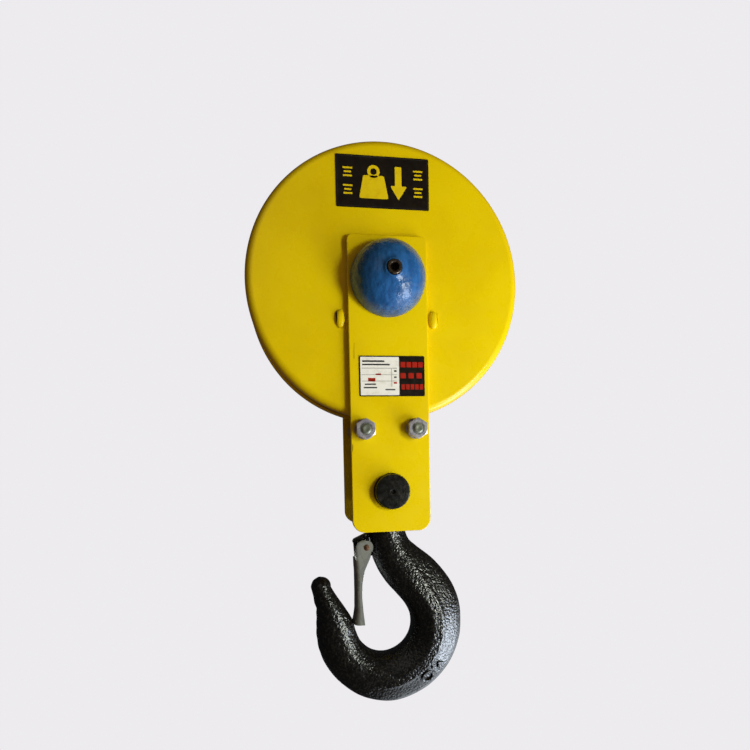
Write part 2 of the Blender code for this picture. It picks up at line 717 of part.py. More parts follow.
# Stations along the hook from the neck to the point, in millimetres from the neck's top centre:
# inner x and z, outer x and z, half thickness, and how square the section is (2 is an ellipse).
HOOK_STATIONS = (
    (-18.0, 0.0, 18.0, 0.0, 18.0, 2.0),
    (-18.0, -14.0, 18.0, -15.0, 18.0, 2.0),
    (-16.6, -29.0, 22.0, -29.5, 18.2, 2.1),
    (-14.8, -43.0, 31.0, -38.5, 18.6, 2.3),
    (-9.0, -58.5, 45.5, -50.3, 19.2, 2.5),
    (-0.6, -72.5, 57.5, -63.8, 20.0, 2.7),
    (9.0, -84.0, 66.8, -78.0, 20.6, 2.8),
    (18.0, -95.4, 72.7, -94.0, 21.0, 2.8),
    (23.2, -108.0, 74.5, -111.0, 21.0, 2.8),
    (22.8, -121.5, 72.2, -134.0, 20.6, 2.8),
    (16.8, -132.6, 60.5, -159.5, 20.0, 2.8),
    (6.8, -139.9, 37.5, -180.8, 19.4, 2.8),
    (-4.6, -142.2, 6.0, -191.2, 19.0, 2.8),
    (-16.6, -138.9, -24.5, -185.3, 18.4, 2.8),
    (-26.4, -129.8, -48.5, -168.0, 17.6, 2.7),
    (-31.2, -118.5, -64.0, -145.5, 16.6, 2.6),
    (-34.4, -107.0, -69.6, -123.0, 15.6, 2.5),
    (-40.6, -96.2, -69.5, -100.0, 14.4, 2.4),
    (-48.2, -84.5, -71.7, -85.0, 13.0, 2.3),
    (-54.8, -73.3, -74.0, -72.5, 11.0, 2.2),
    (-60.0, -66.2, -71.5, -66.2, 7.0, 2.1),
)
STATION_STEPS = 2
SHANK_IN_NECK = 12.0
SECTION_POINTS = 16
ROUND, SQUAREST = 2.0, 2.8
SECTION_TAPER = 0.3  # how much thinner the outer side is than the middle, where it is squarest
LUG_OUTLINE = (
    (-10.0, -20.0), (-21.0, -24.2), (-31.4, -28.9), (-32.8, -31.2),
    (-30.6, -36.0), (-25.5, -43.0), (-18.0, -46.0), (-8.0, -44.0),
)
LATCH_PIVOT = (-20.5, -35.5)
LATCH_EAR = 6.5
LATCH_WEB_TOP = -48.0
SPRING_LONG_LEG = 26.0
SPRING_SHORT_LEG = 9.0
SPRING_LEG_LEAN = 1.4


def hook_length(millimetres):
    return millimetres * 0.001 * HOOK_SCALE


def hook_xz(x, z):
    """A point of the hook's drawing in the block's own X and Z."""
    return hook_length(x), NECK_TOP_Z + hook_length(z)


def smooth_stations():
    """The stations with Catmull-Rom steps between them."""
    rows = [Vector(row) for row in HOOK_STATIONS]
    padded = [2 * rows[0] - rows[1], *rows, 2 * rows[-1] - rows[-2]]
    smooth = []
    for before, start, end, after in zip(padded, padded[1:], padded[2:], padded[3:]):
        for i in range(STATION_STEPS):
            t = i / STATION_STEPS
            smooth.append(
                start
                + 0.5 * t * (end - before)
                + t * t * (before - 2.5 * start + 2 * end - 0.5 * after)
                + t**3 * (1.5 * start - 0.5 * before - 1.5 * end + 0.5 * after)
            )
    return smooth + [rows[-1]]


def hook_section(station):
    """The ring of points round one station: a rounded section, thinner on its outer side."""
    inner_x, inner_z, outer_x, outer_z, half, squareness = station
    inner = Vector((inner_x, 0, inner_z))
    across = Vector((outer_x, 0, outer_z)) - inner
    taper = SECTION_TAPER * (squareness - ROUND) / (SQUAREST - ROUND)
    points = []
    for i in range(SECTION_POINTS):
        angle = 2 * math.pi * i / SECTION_POINTS
        u = math.copysign(abs(math.cos(angle)) ** (2 / squareness), math.cos(angle))
        v = math.copysign(abs(math.sin(angle)) ** (2 / squareness), math.sin(angle))
        depth = v * half * (1 - taper * u)
        point = inner + across * (0.5 + 0.5 * u)
        x, z = hook_xz(point.x, point.z)
        points.append((x, hook_length(depth), z))
    return points


def build_hook(pin_hole):
    """The forged hook: a loft along its stations, the turned shank and the latch's lug."""
    built = bmesh.new()
    rings = [[built.verts.new(p) for p in hook_section(s)] for s in smooth_stations()]
    for upper, lower in zip(rings, rings[1:]):
        for i in range(SECTION_POINTS):
            j = (i + 1) % SECTION_POINTS
            built.faces.new((upper[i], lower[i], lower[j], upper[j]))
    built.faces.new(rings[0])
    built.faces.new(list(reversed(rings[-1])))
    bmesh.ops.recalc_face_normals(built, faces=built.faces)
    hook = from_bmesh("hook", built, BLACK)
    top = HOOK_NUT_Z + HOOK_NUT_HEIGHT + SHANK_PAST_NUT
    low = NECK_TOP_Z - hook_length(SHANK_IN_NECK)
    shank = [(0, top), (SHANK_RADIUS - SHANK_CHAMFER, top), (SHANK_RADIUS, top - SHANK_CHAMFER),
             (SHANK_RADIUS, low), (0, low)]
    shank_tool = turned("hook_shank", shank, MIDDLE_STEPS, BLACK, collection=CUTTERS)
    boolean(hook, "UNION", shank_tool)
    outline = [hook_xz(x, z) for x, z in LUG_OUTLINE]
    lug = as_mesh(flat("latch_lug", [outline], LUG_THICKNESS * HOOK_SCALE, BLACK,
                       rotation=FRONT, collection=CUTTERS))
    boolean(hook, "UNION", lug)
    x, z = hook_xz(*LATCH_PIVOT)
    hole = cutter_cylinder("lug_hole", latch_hole_radius(), 4 * LUG_THICKNESS * HOOK_SCALE, SMALL_STEPS,
                           location=(x, 0, z), rotation=FRONT)
    boolean(hook, "DIFFERENCE", hole)
    boolean(hook, "DIFFERENCE", pin_hole)


# --- Latch ---


def latch_hole_radius():
    return LATCH_PIN_RADIUS * HOOK_SCALE + GAP


# The latch's left and right edges, from top to bottom, in the hook drawing's millimetres.
LATCH_LEFT = ((-31.0, -34.5), (-30.2, -48.0), (-29.6, -62.0), (-29.5, -80.0), (-29.9, -98.0),
              (-31.2, -106.0), (-32.4, -110.5))
LATCH_RIGHT = ((-23.4, -110.5), (-24.7, -98.0), (-25.7, -84.0), (-25.3, -71.0), (-22.8, -58.0),
               (-17.0, -45.0))


def build_latch():
    """A channel bent from sheet: a web along the outer side and two flanges with the ears."""
    pivot_x, pivot_z = LATCH_PIVOT
    ear = arc(pivot_x, pivot_z, LATCH_EAR, -35, 105, 8)
    flange = [hook_xz(x, z) for x, z in (*LATCH_LEFT, *LATCH_RIGHT, *ear)]
    hole = circle(*hook_xz(*LATCH_PIVOT), latch_hole_radius(), SMALL_STEPS)
    flange_y = LATCH_WIDTH * HOOK_SCALE / 2 - LATCH_SHEET / 2
    solids = [
        as_mesh(flat(name, [flange, hole], LATCH_SHEET, ZINC, location=(0, y, 0),
                     rotation=FRONT, collection=collection))
        for name, y, collection in (
            ("latch", -flange_y, PARTS),
            ("rear_latch_flange", flange_y, CUTTERS),
        )
    ]
    outside = [p for p in LATCH_LEFT if p[1] <= LATCH_WEB_TOP]
    sheet = LATCH_SHEET * 1000 / HOOK_SCALE
    web = outside + [(x + sheet, z) for x, z in reversed(outside)]
    web_solid = as_mesh(flat("latch_web", [[hook_xz(x, z) for x, z in web]],
                             LATCH_WIDTH * HOOK_SCALE - LATCH_SHEET, ZINC,
                             rotation=FRONT, collection=CUTTERS))
    boolean(solids[0], "UNION", web_solid)
    boolean(solids[0], "UNION", solids[1])


def build_latch_pin():
    """The rivet through the lug and the latch's two ears."""
    x, z = hook_xz(*LATCH_PIVOT)
    radius = LATCH_PIN_RADIUS * HOOK_SCALE
    head = LATCH_PIN_HEAD * HOOK_SCALE
    seat = LATCH_WIDTH * HOOK_SCALE / 2 + GAP
    end = seat + LATCH_PIN_HEAD_HEIGHT
    edge = end - LATCH_PIN_HEAD_EDGE
    half = [(0, end), (head * 0.7, end), (head, edge), (head, seat), (radius, seat)]
    profile = half + [(r, -y) for r, y in reversed(half)]
    turned("latch_pin", profile, SMALL_STEPS, RUSTY, location=(x, 0, z), rotation=FRONT)


def build_latch_spring():
    """A torsion spring round the rivet: one leg down the latch's web, the other to the neck."""
    x, z = hook_xz(*LATCH_PIVOT)
    radius = SPRING_COIL_RADIUS * HOOK_SCALE
    lug_face = LUG_THICKNESS * HOOK_SCALE / 2
    flange_face = LATCH_WIDTH * HOOK_SCALE / 2 - LATCH_SHEET
    start_y = -(lug_face + GAP + SPRING_WIRE_RADIUS)
    end_y = -(flange_face - GAP - SPRING_WIRE_RADIUS)
    steps = SPRING_TURNS * SPRING_STEPS + SPRING_EXTRA_STEPS
    points = [(x - radius, start_y, z - hook_length(SPRING_LONG_LEG))]
    for i in range(steps + 1):
        angle = math.pi + 2 * math.pi * i / SPRING_STEPS
        y = start_y + (end_y - start_y) * i / steps
        points.append((x + radius * math.cos(angle), y, z + radius * math.sin(angle)))
    lean = hook_length(SPRING_LEG_LEAN)
    points.append((x + radius - lean, end_y, z + hook_length(SPRING_SHORT_LEG)))
    wire("latch_spring", points, SPRING_WIRE_RADIUS, STEEL)


# --- Labels ---


def build_labels():
    """Thin plates: one across the top of the front cover, one on the front side plate."""
    half, tall = (side / 2 for side in CAPACITY_LABEL_SIZE)
    y = -(COVER_OUTER_Y + GAP + LABEL_THICKNESS / 2)
    outline = rounded_rectangle(-half, half, -tall, tall, LABEL_CORNER, LABEL_CORNER, 2)
    flat("capacity_label", [outline], LABEL_THICKNESS, LABEL_BLACK,
         location=(CAPACITY_LABEL_X, y, COVER_RADIUS - CAPACITY_LABEL_BELOW_RIM), rotation=FRONT)
    half = PLATE_WIDTH / 2 - DATA_LABEL_MARGIN
    tall = DATA_LABEL_HEIGHT / 2
    y = -(PLATE_OUTER_Y + GAP + LABEL_THICKNESS / 2)
    outline = rounded_rectangle(-half, half, -tall, tall, LABEL_CORNER, LABEL_CORNER, 2)
    flat("data_label", [outline], LABEL_THICKNESS, LABEL_WHITE,
         location=(DATA_LABEL_X, y, TIE_Z + DATA_LABEL_ABOVE_TIE), rotation=FRONT)


build_sheave()
for cover_side, cover_rotation in SIDES:
    build_cover(cover_side, cover_rotation)
build_guard_band()
build_side_plates()
build_shaft()
for tie_side, tie_x in (("left", -TIE_X), ("right", TIE_X)):
    build_tie_bolt(tie_side, tie_x)
build_crossbeam()
build_thrust_bearing()
build_hook(build_hook_nut())
build_latch()
build_latch_pin()
build_latch_spring()
build_labels()
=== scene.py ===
"""Dressed model of a single-sheave crane hook block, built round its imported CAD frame.

The frame gives every place and size. Each sub-assembly below is a class that builds its finer
meshes over the CAD nodes, dresses them in their finishes, and hangs them on the frame's bodies.
Units are metres, +Z is up, the sheave turns about Y, and the front of the block faces -Y.
"""

import json
import logging
import math
from collections.abc import Callable, Iterable, Sequence
from dataclasses import dataclass, field
from enum import Enum

import bmesh
import bpy
import numpy as np
from mathutils import Matrix, Vector, noise
from mathutils.bvhtree import BVHTree

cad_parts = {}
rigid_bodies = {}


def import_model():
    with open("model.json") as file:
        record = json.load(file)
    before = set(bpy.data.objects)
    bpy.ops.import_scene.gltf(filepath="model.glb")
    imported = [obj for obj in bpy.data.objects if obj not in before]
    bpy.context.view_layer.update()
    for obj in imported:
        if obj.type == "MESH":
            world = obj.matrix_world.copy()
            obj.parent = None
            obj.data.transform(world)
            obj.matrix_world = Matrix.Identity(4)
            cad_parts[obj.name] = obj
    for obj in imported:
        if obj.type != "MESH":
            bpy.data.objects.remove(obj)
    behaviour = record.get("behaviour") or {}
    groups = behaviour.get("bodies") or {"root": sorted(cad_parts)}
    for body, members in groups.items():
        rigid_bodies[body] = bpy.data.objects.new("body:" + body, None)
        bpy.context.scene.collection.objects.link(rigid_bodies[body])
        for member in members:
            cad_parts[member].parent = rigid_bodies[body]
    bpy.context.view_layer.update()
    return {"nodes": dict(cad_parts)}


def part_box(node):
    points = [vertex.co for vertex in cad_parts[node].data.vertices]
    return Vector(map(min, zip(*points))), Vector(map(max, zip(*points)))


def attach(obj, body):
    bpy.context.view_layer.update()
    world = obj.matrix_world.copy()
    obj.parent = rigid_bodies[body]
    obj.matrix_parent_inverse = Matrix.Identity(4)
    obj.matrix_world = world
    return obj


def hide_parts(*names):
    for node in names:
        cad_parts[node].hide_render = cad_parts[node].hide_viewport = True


for startup_object in list(bpy.data.objects):
    bpy.data.objects.remove(startup_object, do_unlink=True)

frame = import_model()

LOG = logging.getLogger("hook_block")

MM = 0.001
Point = tuple[float, float]
Socket = bpy.types.NodeSocket
Mesh = bpy.types.Mesh
Object = bpy.types.Object
Material = bpy.types.Material


class Body(Enum):
    """The moving bodies of the frame that visible pieces ride on."""

    FRAME = "frame"
    SHEAVE = "sheave"
    BEAM = "beam"
    HOOK = "hook"
    LATCH = "latch"


class Side(Enum):
    """The two faces of the block: the sign of Y that each one looks along."""

    FRONT = -1
    REAR = 1

    @property
    def label(self) -> str:
        """The side's name as the CAD nodes spell it."""
        return self.name.lower()

    @property
    def turn(self) -> Matrix:
        """Turns a piece drawn about +Z so that its Z points out of this side."""
        return Matrix.Rotation(math.radians(90), 4, "X") if self is Side.FRONT else (
            Matrix.Rotation(math.radians(180), 4, "Z") @ Matrix.Rotation(math.radians(90), 4, "X"))


# --- Nodes and materials ---


def linear(code: str) -> tuple[float, float, float, float]:
    """Turns an sRGB hex colour into linear RGBA.

    Args:
        code: Six hex digits, such as "E0C810".

    Returns:
        The linear colour with an alpha of 1.
    """
    parts = [int(code[i:i + 2], 16) / 255 for i in (0, 2, 4)]
    red, green, blue = ((p / 12.92 if p <= 0.04045 else ((p + 0.055) / 1.055) ** 2.4) for p in parts)
    return red, green, blue, 1.0


def add(tree: bpy.types.NodeTree, kind: str, inputs: dict | None = None, **settings) -> bpy.types.Node:
    """Adds a node with its settings and links.

    Args:
        tree: The node tree that takes the node.
        kind: Blender's name for the node's type.
        inputs: Input names or numbers, each with a constant or with another node's output.
        **settings: Properties of the node itself.

    Returns:
        The new node.
    """
    node = tree.nodes.new(kind)
    for name, value in settings.items():
        setattr(node, name, value)
    for key, value in (inputs or {}).items():
        if isinstance(value, Socket):
            tree.links.new(value, node.inputs[key])
        else:
            node.inputs[key].default_value = value
    return node


@dataclass
class Paintwork:
    """A material being mixed: its tree, its shader, and patterns on Object coordinates."""

    name: str
    centre: tuple[float, float, float] = (0.0, 0.0, 0.0)

    def __post_init__(self) -> None:
        """Makes the material and its Mapping node, centred on the piece."""
        self.material: Material = bpy.data.materials.new(self.name)
        self.material.use_nodes = True
        self.tree = self.material.node_tree
        self.shader = self.tree.nodes["Principled BSDF"]
        where = add(self.tree, "ShaderNodeTexCoord")
        mapping = add(self.tree, "ShaderNodeMapping", {"Vector": where.outputs["Object"]})
        mapping.inputs["Location"].default_value = [-c for c in self.centre]
        self.place: Socket = mapping.outputs["Vector"]

    def set(self, **values: float | tuple) -> None:
        """Sets constants on the shader's own sockets, named with underscores for spaces."""
        for name, value in values.items():
            self.shader.inputs[name.replace("_", " ")].default_value = value

    def stretched(self, x: float, y: float, z: float) -> Socket:
        """Object coordinates scaled by x, y and z, for grain that runs one way."""
        return add(self.tree, "ShaderNodeMapping", {"Vector": self.place, "Scale": (x, y, z)}).outputs[0]

    def grain(self, size_mm: float, detail: float = 2.0, rough: float = 0.5,
              vector: Socket | None = None, distortion: float = 0.0) -> Socket:
        """Noise whose blobs are size_mm across.

        Args:
            size_mm: The size of one blob, in millimetres.
            detail: How many finer octaves lie over it.
            rough: How strong those octaves are.
            vector: Other coordinates than the piece's own.
            distortion: How far the noise is bent.

        Returns:
            The noise's value, about 0.5 on average.
        """
        node = add(self.tree, "ShaderNodeTexNoise", {
            "Vector": vector or self.place, "Scale": 1 / (size_mm * MM), "Detail": detail,
            "Roughness": rough, "Distortion": distortion})
        return node.outputs["Fac"]

    def cells(self, size_mm: float, vector: Socket | None = None, feature: str = "F1",
              output: str = "Distance") -> Socket:
        """Voronoi cells that are size_mm across."""
        node = add(self.tree, "ShaderNodeTexVoronoi", {
            "Vector": vector or self.place, "Scale": 1 / (size_mm * MM)}, feature=feature)
        return node.outputs[output]

    def ramp(self, value: Socket, low: float, high: float, start: float = 0.0,
             end: float = 1.0) -> Socket:
        """Maps a value smoothly from low..high to start..end, and clamps it."""
        node = add(self.tree, "ShaderNodeMapRange", {
            "Value": value, "From Min": low, "From Max": high, "To Min": start, "To Max": end},
            interpolation_type="SMOOTHSTEP")
        return node.outputs["Result"]

    def blend(self, factor: Socket, first: str | Socket, second: str | Socket) -> Socket:
        """Mixes two colours, each a hex code or another node's colour, by a factor."""
        colours = [c if isinstance(c, Socket) else linear(c) for c in (first, second)]
        node = add(self.tree, "ShaderNodeMix", {0: factor, 6: colours[0], 7: colours[1]},
                   data_type="RGBA")
        return node.outputs[2]

    def sums(self, first: Socket, second: Socket | float, operation: str = "ADD") -> Socket:
        """Joins two values by a Math operation."""
        return add(self.tree, "ShaderNodeMath", {0: first, 1: second}, operation=operation).outputs[0]

    def link(self, **sources: Socket) -> None:
        """Links pattern outputs to the shader's sockets."""
        for name, source in sources.items():
            self.tree.links.new(source, self.shader.inputs[name.replace("_", " ")])

    def relief(self, *heights: tuple[Socket, float, float]) -> None:
        """Lays bumps over each other: (pattern, height in mm, strength) for each."""
        normal: Socket | None = None
        for pattern, height_mm, strength in heights:
            inputs = {"Height": pattern, "Distance": height_mm * MM, "Strength": strength}
            if normal is not None:
                inputs["Normal"] = normal
            normal = add(self.tree, "ShaderNodeBump", inputs).outputs["Normal"]
        self.link(Normal=normal, Coat_Normal=normal)


@dataclass(frozen=True)
class BakedEnamel:
    """Stoved alkyd enamel sprayed on sheet steel: a deep even gloss with a faint orange peel."""

    name: str = "yellow_baked_enamel"
    colour: str = "E6CA00"
    thin: str = "E0C200"
    grime: str = "B89000"
    scratched: str = "6E5600"
    peel_mm: float = 2.6
    gloss: float = 0.26

    def make(self) -> Material:
        """Mixes the enamel: broad shade changes, dusty specks, and orange peel in the gloss."""
        work = Paintwork(self.name)
        work.set(IOR=1.42, Coat_Weight=0.12, Coat_Roughness=0.1)
        shade = work.blend(work.ramp(work.grain(60, 3), 0.35, 0.65), self.colour, self.thin)
        scuff = work.ramp(work.grain(3.2, 4, 0.65), 0.72, 0.8, 0.0, 0.4)
        lines = work.grain(2.2, 1, 0.5, work.stretched(1.0, 0.2, 0.07), 0.6)
        scratch = work.sums(work.ramp(lines, 0.765, 0.79), work.ramp(work.grain(30, 1), 0.55, 0.62), "MULTIPLY")
        worn = work.blend(scuff, shade, self.grime)
        work.link(
            Base_Color=work.blend(scratch, worn, self.scratched),
            Roughness=work.ramp(work.grain(14, 4, 0.6), 0.3, 0.7, self.gloss - 0.04, self.gloss + 0.1))
        # Orange peel is about 1 mm across on such work; 2.6 mm is the finest that shows here.
        work.relief((work.grain(self.peel_mm, 1), 0.05, 0.3), (work.grain(26, 1), 0.4, 0.1))
        return work.material


@dataclass(frozen=True)
class BrushedEnamel:
    """Blue enamel laid on a pressed cap with a brush: sags, lumps and darker thick places."""

    name: str = "blue_brushed_enamel"
    colour: str = "2660A4"
    deep: str = "1D4F8C"
    dust: str = "3F78B0"

    def make(self) -> Material:
        """Mixes the enamel: streaks that run down the cap, and lumps under a wet gloss."""
        work = Paintwork(self.name)
        work.set(IOR=1.5, Coat_Weight=0.2, Coat_Roughness=0.25)
        streaks = work.grain(7, 3, 0.6, work.stretched(1.6, 1.0, 0.5))
        deep = work.blend(work.ramp(streaks, 0.38, 0.62), self.deep, self.colour)
        flecks = work.ramp(work.grain(1.6, 3, 0.7), 0.66, 0.74, 0.0, 0.5)
        work.link(Base_Color=work.blend(flecks, deep, self.dust),
                  Roughness=work.ramp(work.grain(6, 3), 0.35, 0.65, 0.18, 0.32))
        work.relief((work.grain(6.5, 2, 0.5), 0.8, 0.35), (streaks, 0.7, 0.4),
                    (work.grain(2.6, 1.5, 0.5), 0.45, 0.6))
        return work.material


@dataclass(frozen=True)
class ForgedBlack:
    """Black gloss paint over the scaled skin of a drop forging: pits and hammered swells."""

    name: str = "black_paint_on_forging"
    colour: str = "0C0B0A"
    worn: str = "211E1A"
    pit_mm: float = 2.1

    def make(self) -> Material:
        """Mixes the paint: coarse swells, scale pits and a gloss that breaks up over them."""
        work = Paintwork(self.name)
        work.set(IOR=1.5, Specular_IOR_Level=0.75, Coat_Weight=0.5, Coat_Roughness=0.16)
        pits = work.ramp(work.cells(self.pit_mm, feature="SMOOTH_F1"), 0.0, 0.6)
        skin = work.grain(2.3, 1.5, 0.5)
        work.link(
            Base_Color=work.blend(work.ramp(skin, 0.45, 0.7), self.colour, self.worn),
            Roughness=work.ramp(work.grain(5, 4, 0.65), 0.32, 0.68, 0.16, 0.36))
        work.relief((work.grain(11, 2), 1.2, 0.35), (skin, 0.95, 0.62), (pits, 0.5, 0.45))
        return work.material


@dataclass(frozen=True)
class MachinedBlack:
    """Black paint over a faced bar end: fine rings left by the lathe tool, softly filled."""

    name: str = "black_paint_on_turned_steel"
    colour: str = "0F0E0C"
    dust: str = "2C2823"
    ring_mm: float = 1.4
    height: float = 0.0

    def make(self) -> Material:
        """Mixes the paint: tool rings about the journal's own axis, and dust in patches."""
        work = Paintwork(self.name, centre=(0.0, 0.0, self.height))
        work.set(IOR=1.4, Coat_Weight=0.1, Coat_Roughness=0.3)
        flat = work.stretched(1.0, 0.0, 1.0)
        rings = add(work.tree, "ShaderNodeTexWave", {
            "Vector": flat, "Scale": 1 / (self.ring_mm * MM * 6.28), "Distortion": 1.5,
            "Detail": 2.0}, wave_type="RINGS", rings_direction="SPHERICAL").outputs["Fac"]
        work.link(Base_Color=work.blend(work.ramp(work.grain(4, 4, 0.7), 0.5, 0.72), self.colour, self.dust),
                  Roughness=work.ramp(work.grain(3, 3), 0.3, 0.7, 0.28, 0.5))
        work.relief((rings, 0.05, 0.25), (work.grain(1.8, 3), 0.3, 0.45))
        return work.material


@dataclass(frozen=True)
class PlatedSteel:
    """Bright zinc on cold-headed fasteners: pale, a little milky, with a lilac passivation."""

    name: str = "zinc_plated_steel"
    colour: str = "C9C6D0"
    film: str = "A8A4B8"
    roughness: float = 0.3

    def make(self) -> Material:
        """Mixes the plating: cloudy tint and fine handling marks."""
        work = Paintwork(self.name)
        work.set(Metallic=0.55)
        work.link(Base_Color=work.blend(work.ramp(work.grain(4, 3), 0.35, 0.65), self.colour, self.film),
                  Roughness=work.ramp(work.grain(1.5, 3), 0.3, 0.7, self.roughness - 0.06,
                                      self.roughness + 0.12))
        work.relief((work.grain(1.1, 2), 0.03, 0.2),)
        return work.material


@dataclass(frozen=True)
class GalvanisedSheet:
    """Hot-dip galvanised strip: grey-green metal with soft-edged crystals of spangle."""

    name: str = "galvanised_sheet"
    light: str = "C2C5C0"
    dark: str = "9A9D9A"

    def make(self) -> Material:
        """Mixes the zinc: each spangle with its own shade and gloss, and a dull bloom."""
        work = Paintwork(self.name)
        work.set(Metallic=0.68)
        bent = work.stretched(1.0, 1.0, 0.8)
        # Spangle is 5 to 10 mm wide on strip; the strip's own pressing breaks it to about 4 mm.
        spangle = add(work.tree, "ShaderNodeSeparateColor",
                      {"Color": work.cells(4.0, bent, output="Color")}).outputs["Red"]
        work.link(Base_Color=work.blend(work.ramp(spangle, 0.0, 1.0), self.light, self.dark),
                  Roughness=work.ramp(spangle, 0.0, 1.0, 0.3, 0.46))
        work.relief((work.grain(1.4, 3), 0.08, 0.35), (work.grain(9, 2), 0.5, 0.25))
        return work.material


@dataclass(frozen=True)
class GroundSteel:
    """Hardened bearing steel, ground and lightly oiled: smooth, with hair-fine lay."""

    name: str = "ground_bearing_steel"
    colour: str = "B4B5B8"
    oil: str = "8E8C86"

    def make(self) -> Material:
        """Mixes the steel: fine lay across the piece under a patchy oil film."""
        work = Paintwork(self.name)
        work.set(Metallic=1.0)
        lay = work.grain(0.8, 2, 0.5, work.stretched(0.15, 1.0, 0.15))
        work.link(Base_Color=work.blend(work.ramp(work.grain(12, 3), 0.4, 0.65), self.colour, self.oil),
                  Roughness=work.ramp(lay, 0.3, 0.7, 0.2, 0.34))
        work.relief((lay, 0.03, 0.4),)
        return work.material


@dataclass(frozen=True)
class SandCastIron:
    """Grey cast iron: sandy web and hub, with a bright machined groove for the rope."""

    name: str = "grey_cast_iron"
    skin: str = "3B3A39"
    cut: str = "8C8A86"
    groove_from: float = 0.0975
    half_groove: float = 0.0105

    def make(self) -> Material:
        """Mixes the iron: sand texture everywhere, less of it where the lathe cut the groove."""
        work = Paintwork(self.name)
        work.set(Metallic=0.85)
        parts = add(work.tree, "ShaderNodeSeparateXYZ", {"Vector": work.place})
        flat = add(work.tree, "ShaderNodeCombineXYZ", {
            "X": parts.outputs["X"], "Z": parts.outputs["Z"]}).outputs[0]
        radius = add(work.tree, "ShaderNodeVectorMath", {0: flat}, operation="LENGTH").outputs["Value"]
        off_centre = work.sums(parts.outputs["Y"], 0.0, "ABSOLUTE")
        inside = work.sums(work.ramp(radius, self.groove_from, self.groove_from + 0.001),
                           work.ramp(off_centre, self.half_groove, self.half_groove + 0.0006, 1.0, 0.0),
                           "MULTIPLY")
        sand = work.grain(1.2, 3, 0.6)
        work.link(Base_Color=work.blend(inside, work.blend(work.ramp(sand, 0.3, 0.7), self.skin, "4A4846"),
                                        self.cut),
                  Roughness=work.ramp(work.sums(inside, sand, "SUBTRACT"), -0.6, 0.6, 0.65, 0.32))
        work.relief((sand, 0.3, 0.5),)
        return work.material


@dataclass(frozen=True)
class BrownedSteel:
    """Bare mild steel gone brown in the air: hammered rivet heads and the grease stubs."""

    name: str = "browned_bare_steel"
    bright: str = "9A7A62"
    rust: str = "4E2C1C"
    dark: str = "2B1A14"

    def make(self) -> Material:
        """Mixes the steel: brown bloom over bare metal, darkest in the hammer marks."""
        work = Paintwork(self.name)
        work.set(Metallic=0.8)
        rust = work.grain(1.6, 4, 0.65)
        base = work.blend(work.ramp(rust, 0.42, 0.6), self.bright, self.rust)
        work.link(Base_Color=work.blend(work.ramp(work.grain(3.5, 2), 0.55, 0.72), base, self.dark),
                  Roughness=work.ramp(rust, 0.35, 0.65, 0.3, 0.6))
        work.relief((work.cells(2.2, feature="SMOOTH_F1"), 0.35, 0.6), (rust, 0.15, 0.4))
        return work.material


@dataclass(frozen=True)
class SpringWire:
    """Oil-tempered spring wire: dark, even and slightly glossy, with drawing lines."""

    name: str = "oil_tempered_wire"
    colour: str = "3A3A3E"

    def make(self) -> Material:
        """Mixes the wire's blue-grey temper film."""
        work = Paintwork(self.name)
        work.set(Metallic=1.0)
        temper = work.ramp(work.grain(2, 2), 0.35, 0.65)
        work.link(Base_Color=work.blend(temper, self.colour, "55555C"),
                  Roughness=work.ramp(temper, 0.0, 1.0, 0.3, 0.42))
        work.relief((work.grain(0.5, 1), 0.02, 0.3),)
        return work.material


@dataclass(frozen=True)
class Film:
    """Cast vinyl film or screen ink: flat colour with a satin skin and faint creases."""

    name: str
    colour: str
    faded: str
    roughness: float = 0.34

    def make(self) -> Material:
        """Mixes the film: uneven ink, dust and a slightly rippled surface."""
        work = Paintwork(self.name)
        work.set(IOR=1.46)
        work.link(Base_Color=work.blend(work.ramp(work.grain(6, 4, 0.65), 0.45, 0.75), self.colour, self.faded),
                  Roughness=work.ramp(work.grain(4, 3), 0.3, 0.7, self.roughness - 0.06,
                                      self.roughness + 0.12))
        work.relief((work.grain(9, 2), 0.2, 0.3), (work.grain(0.9, 1), 0.02, 0.3))
        return work.material


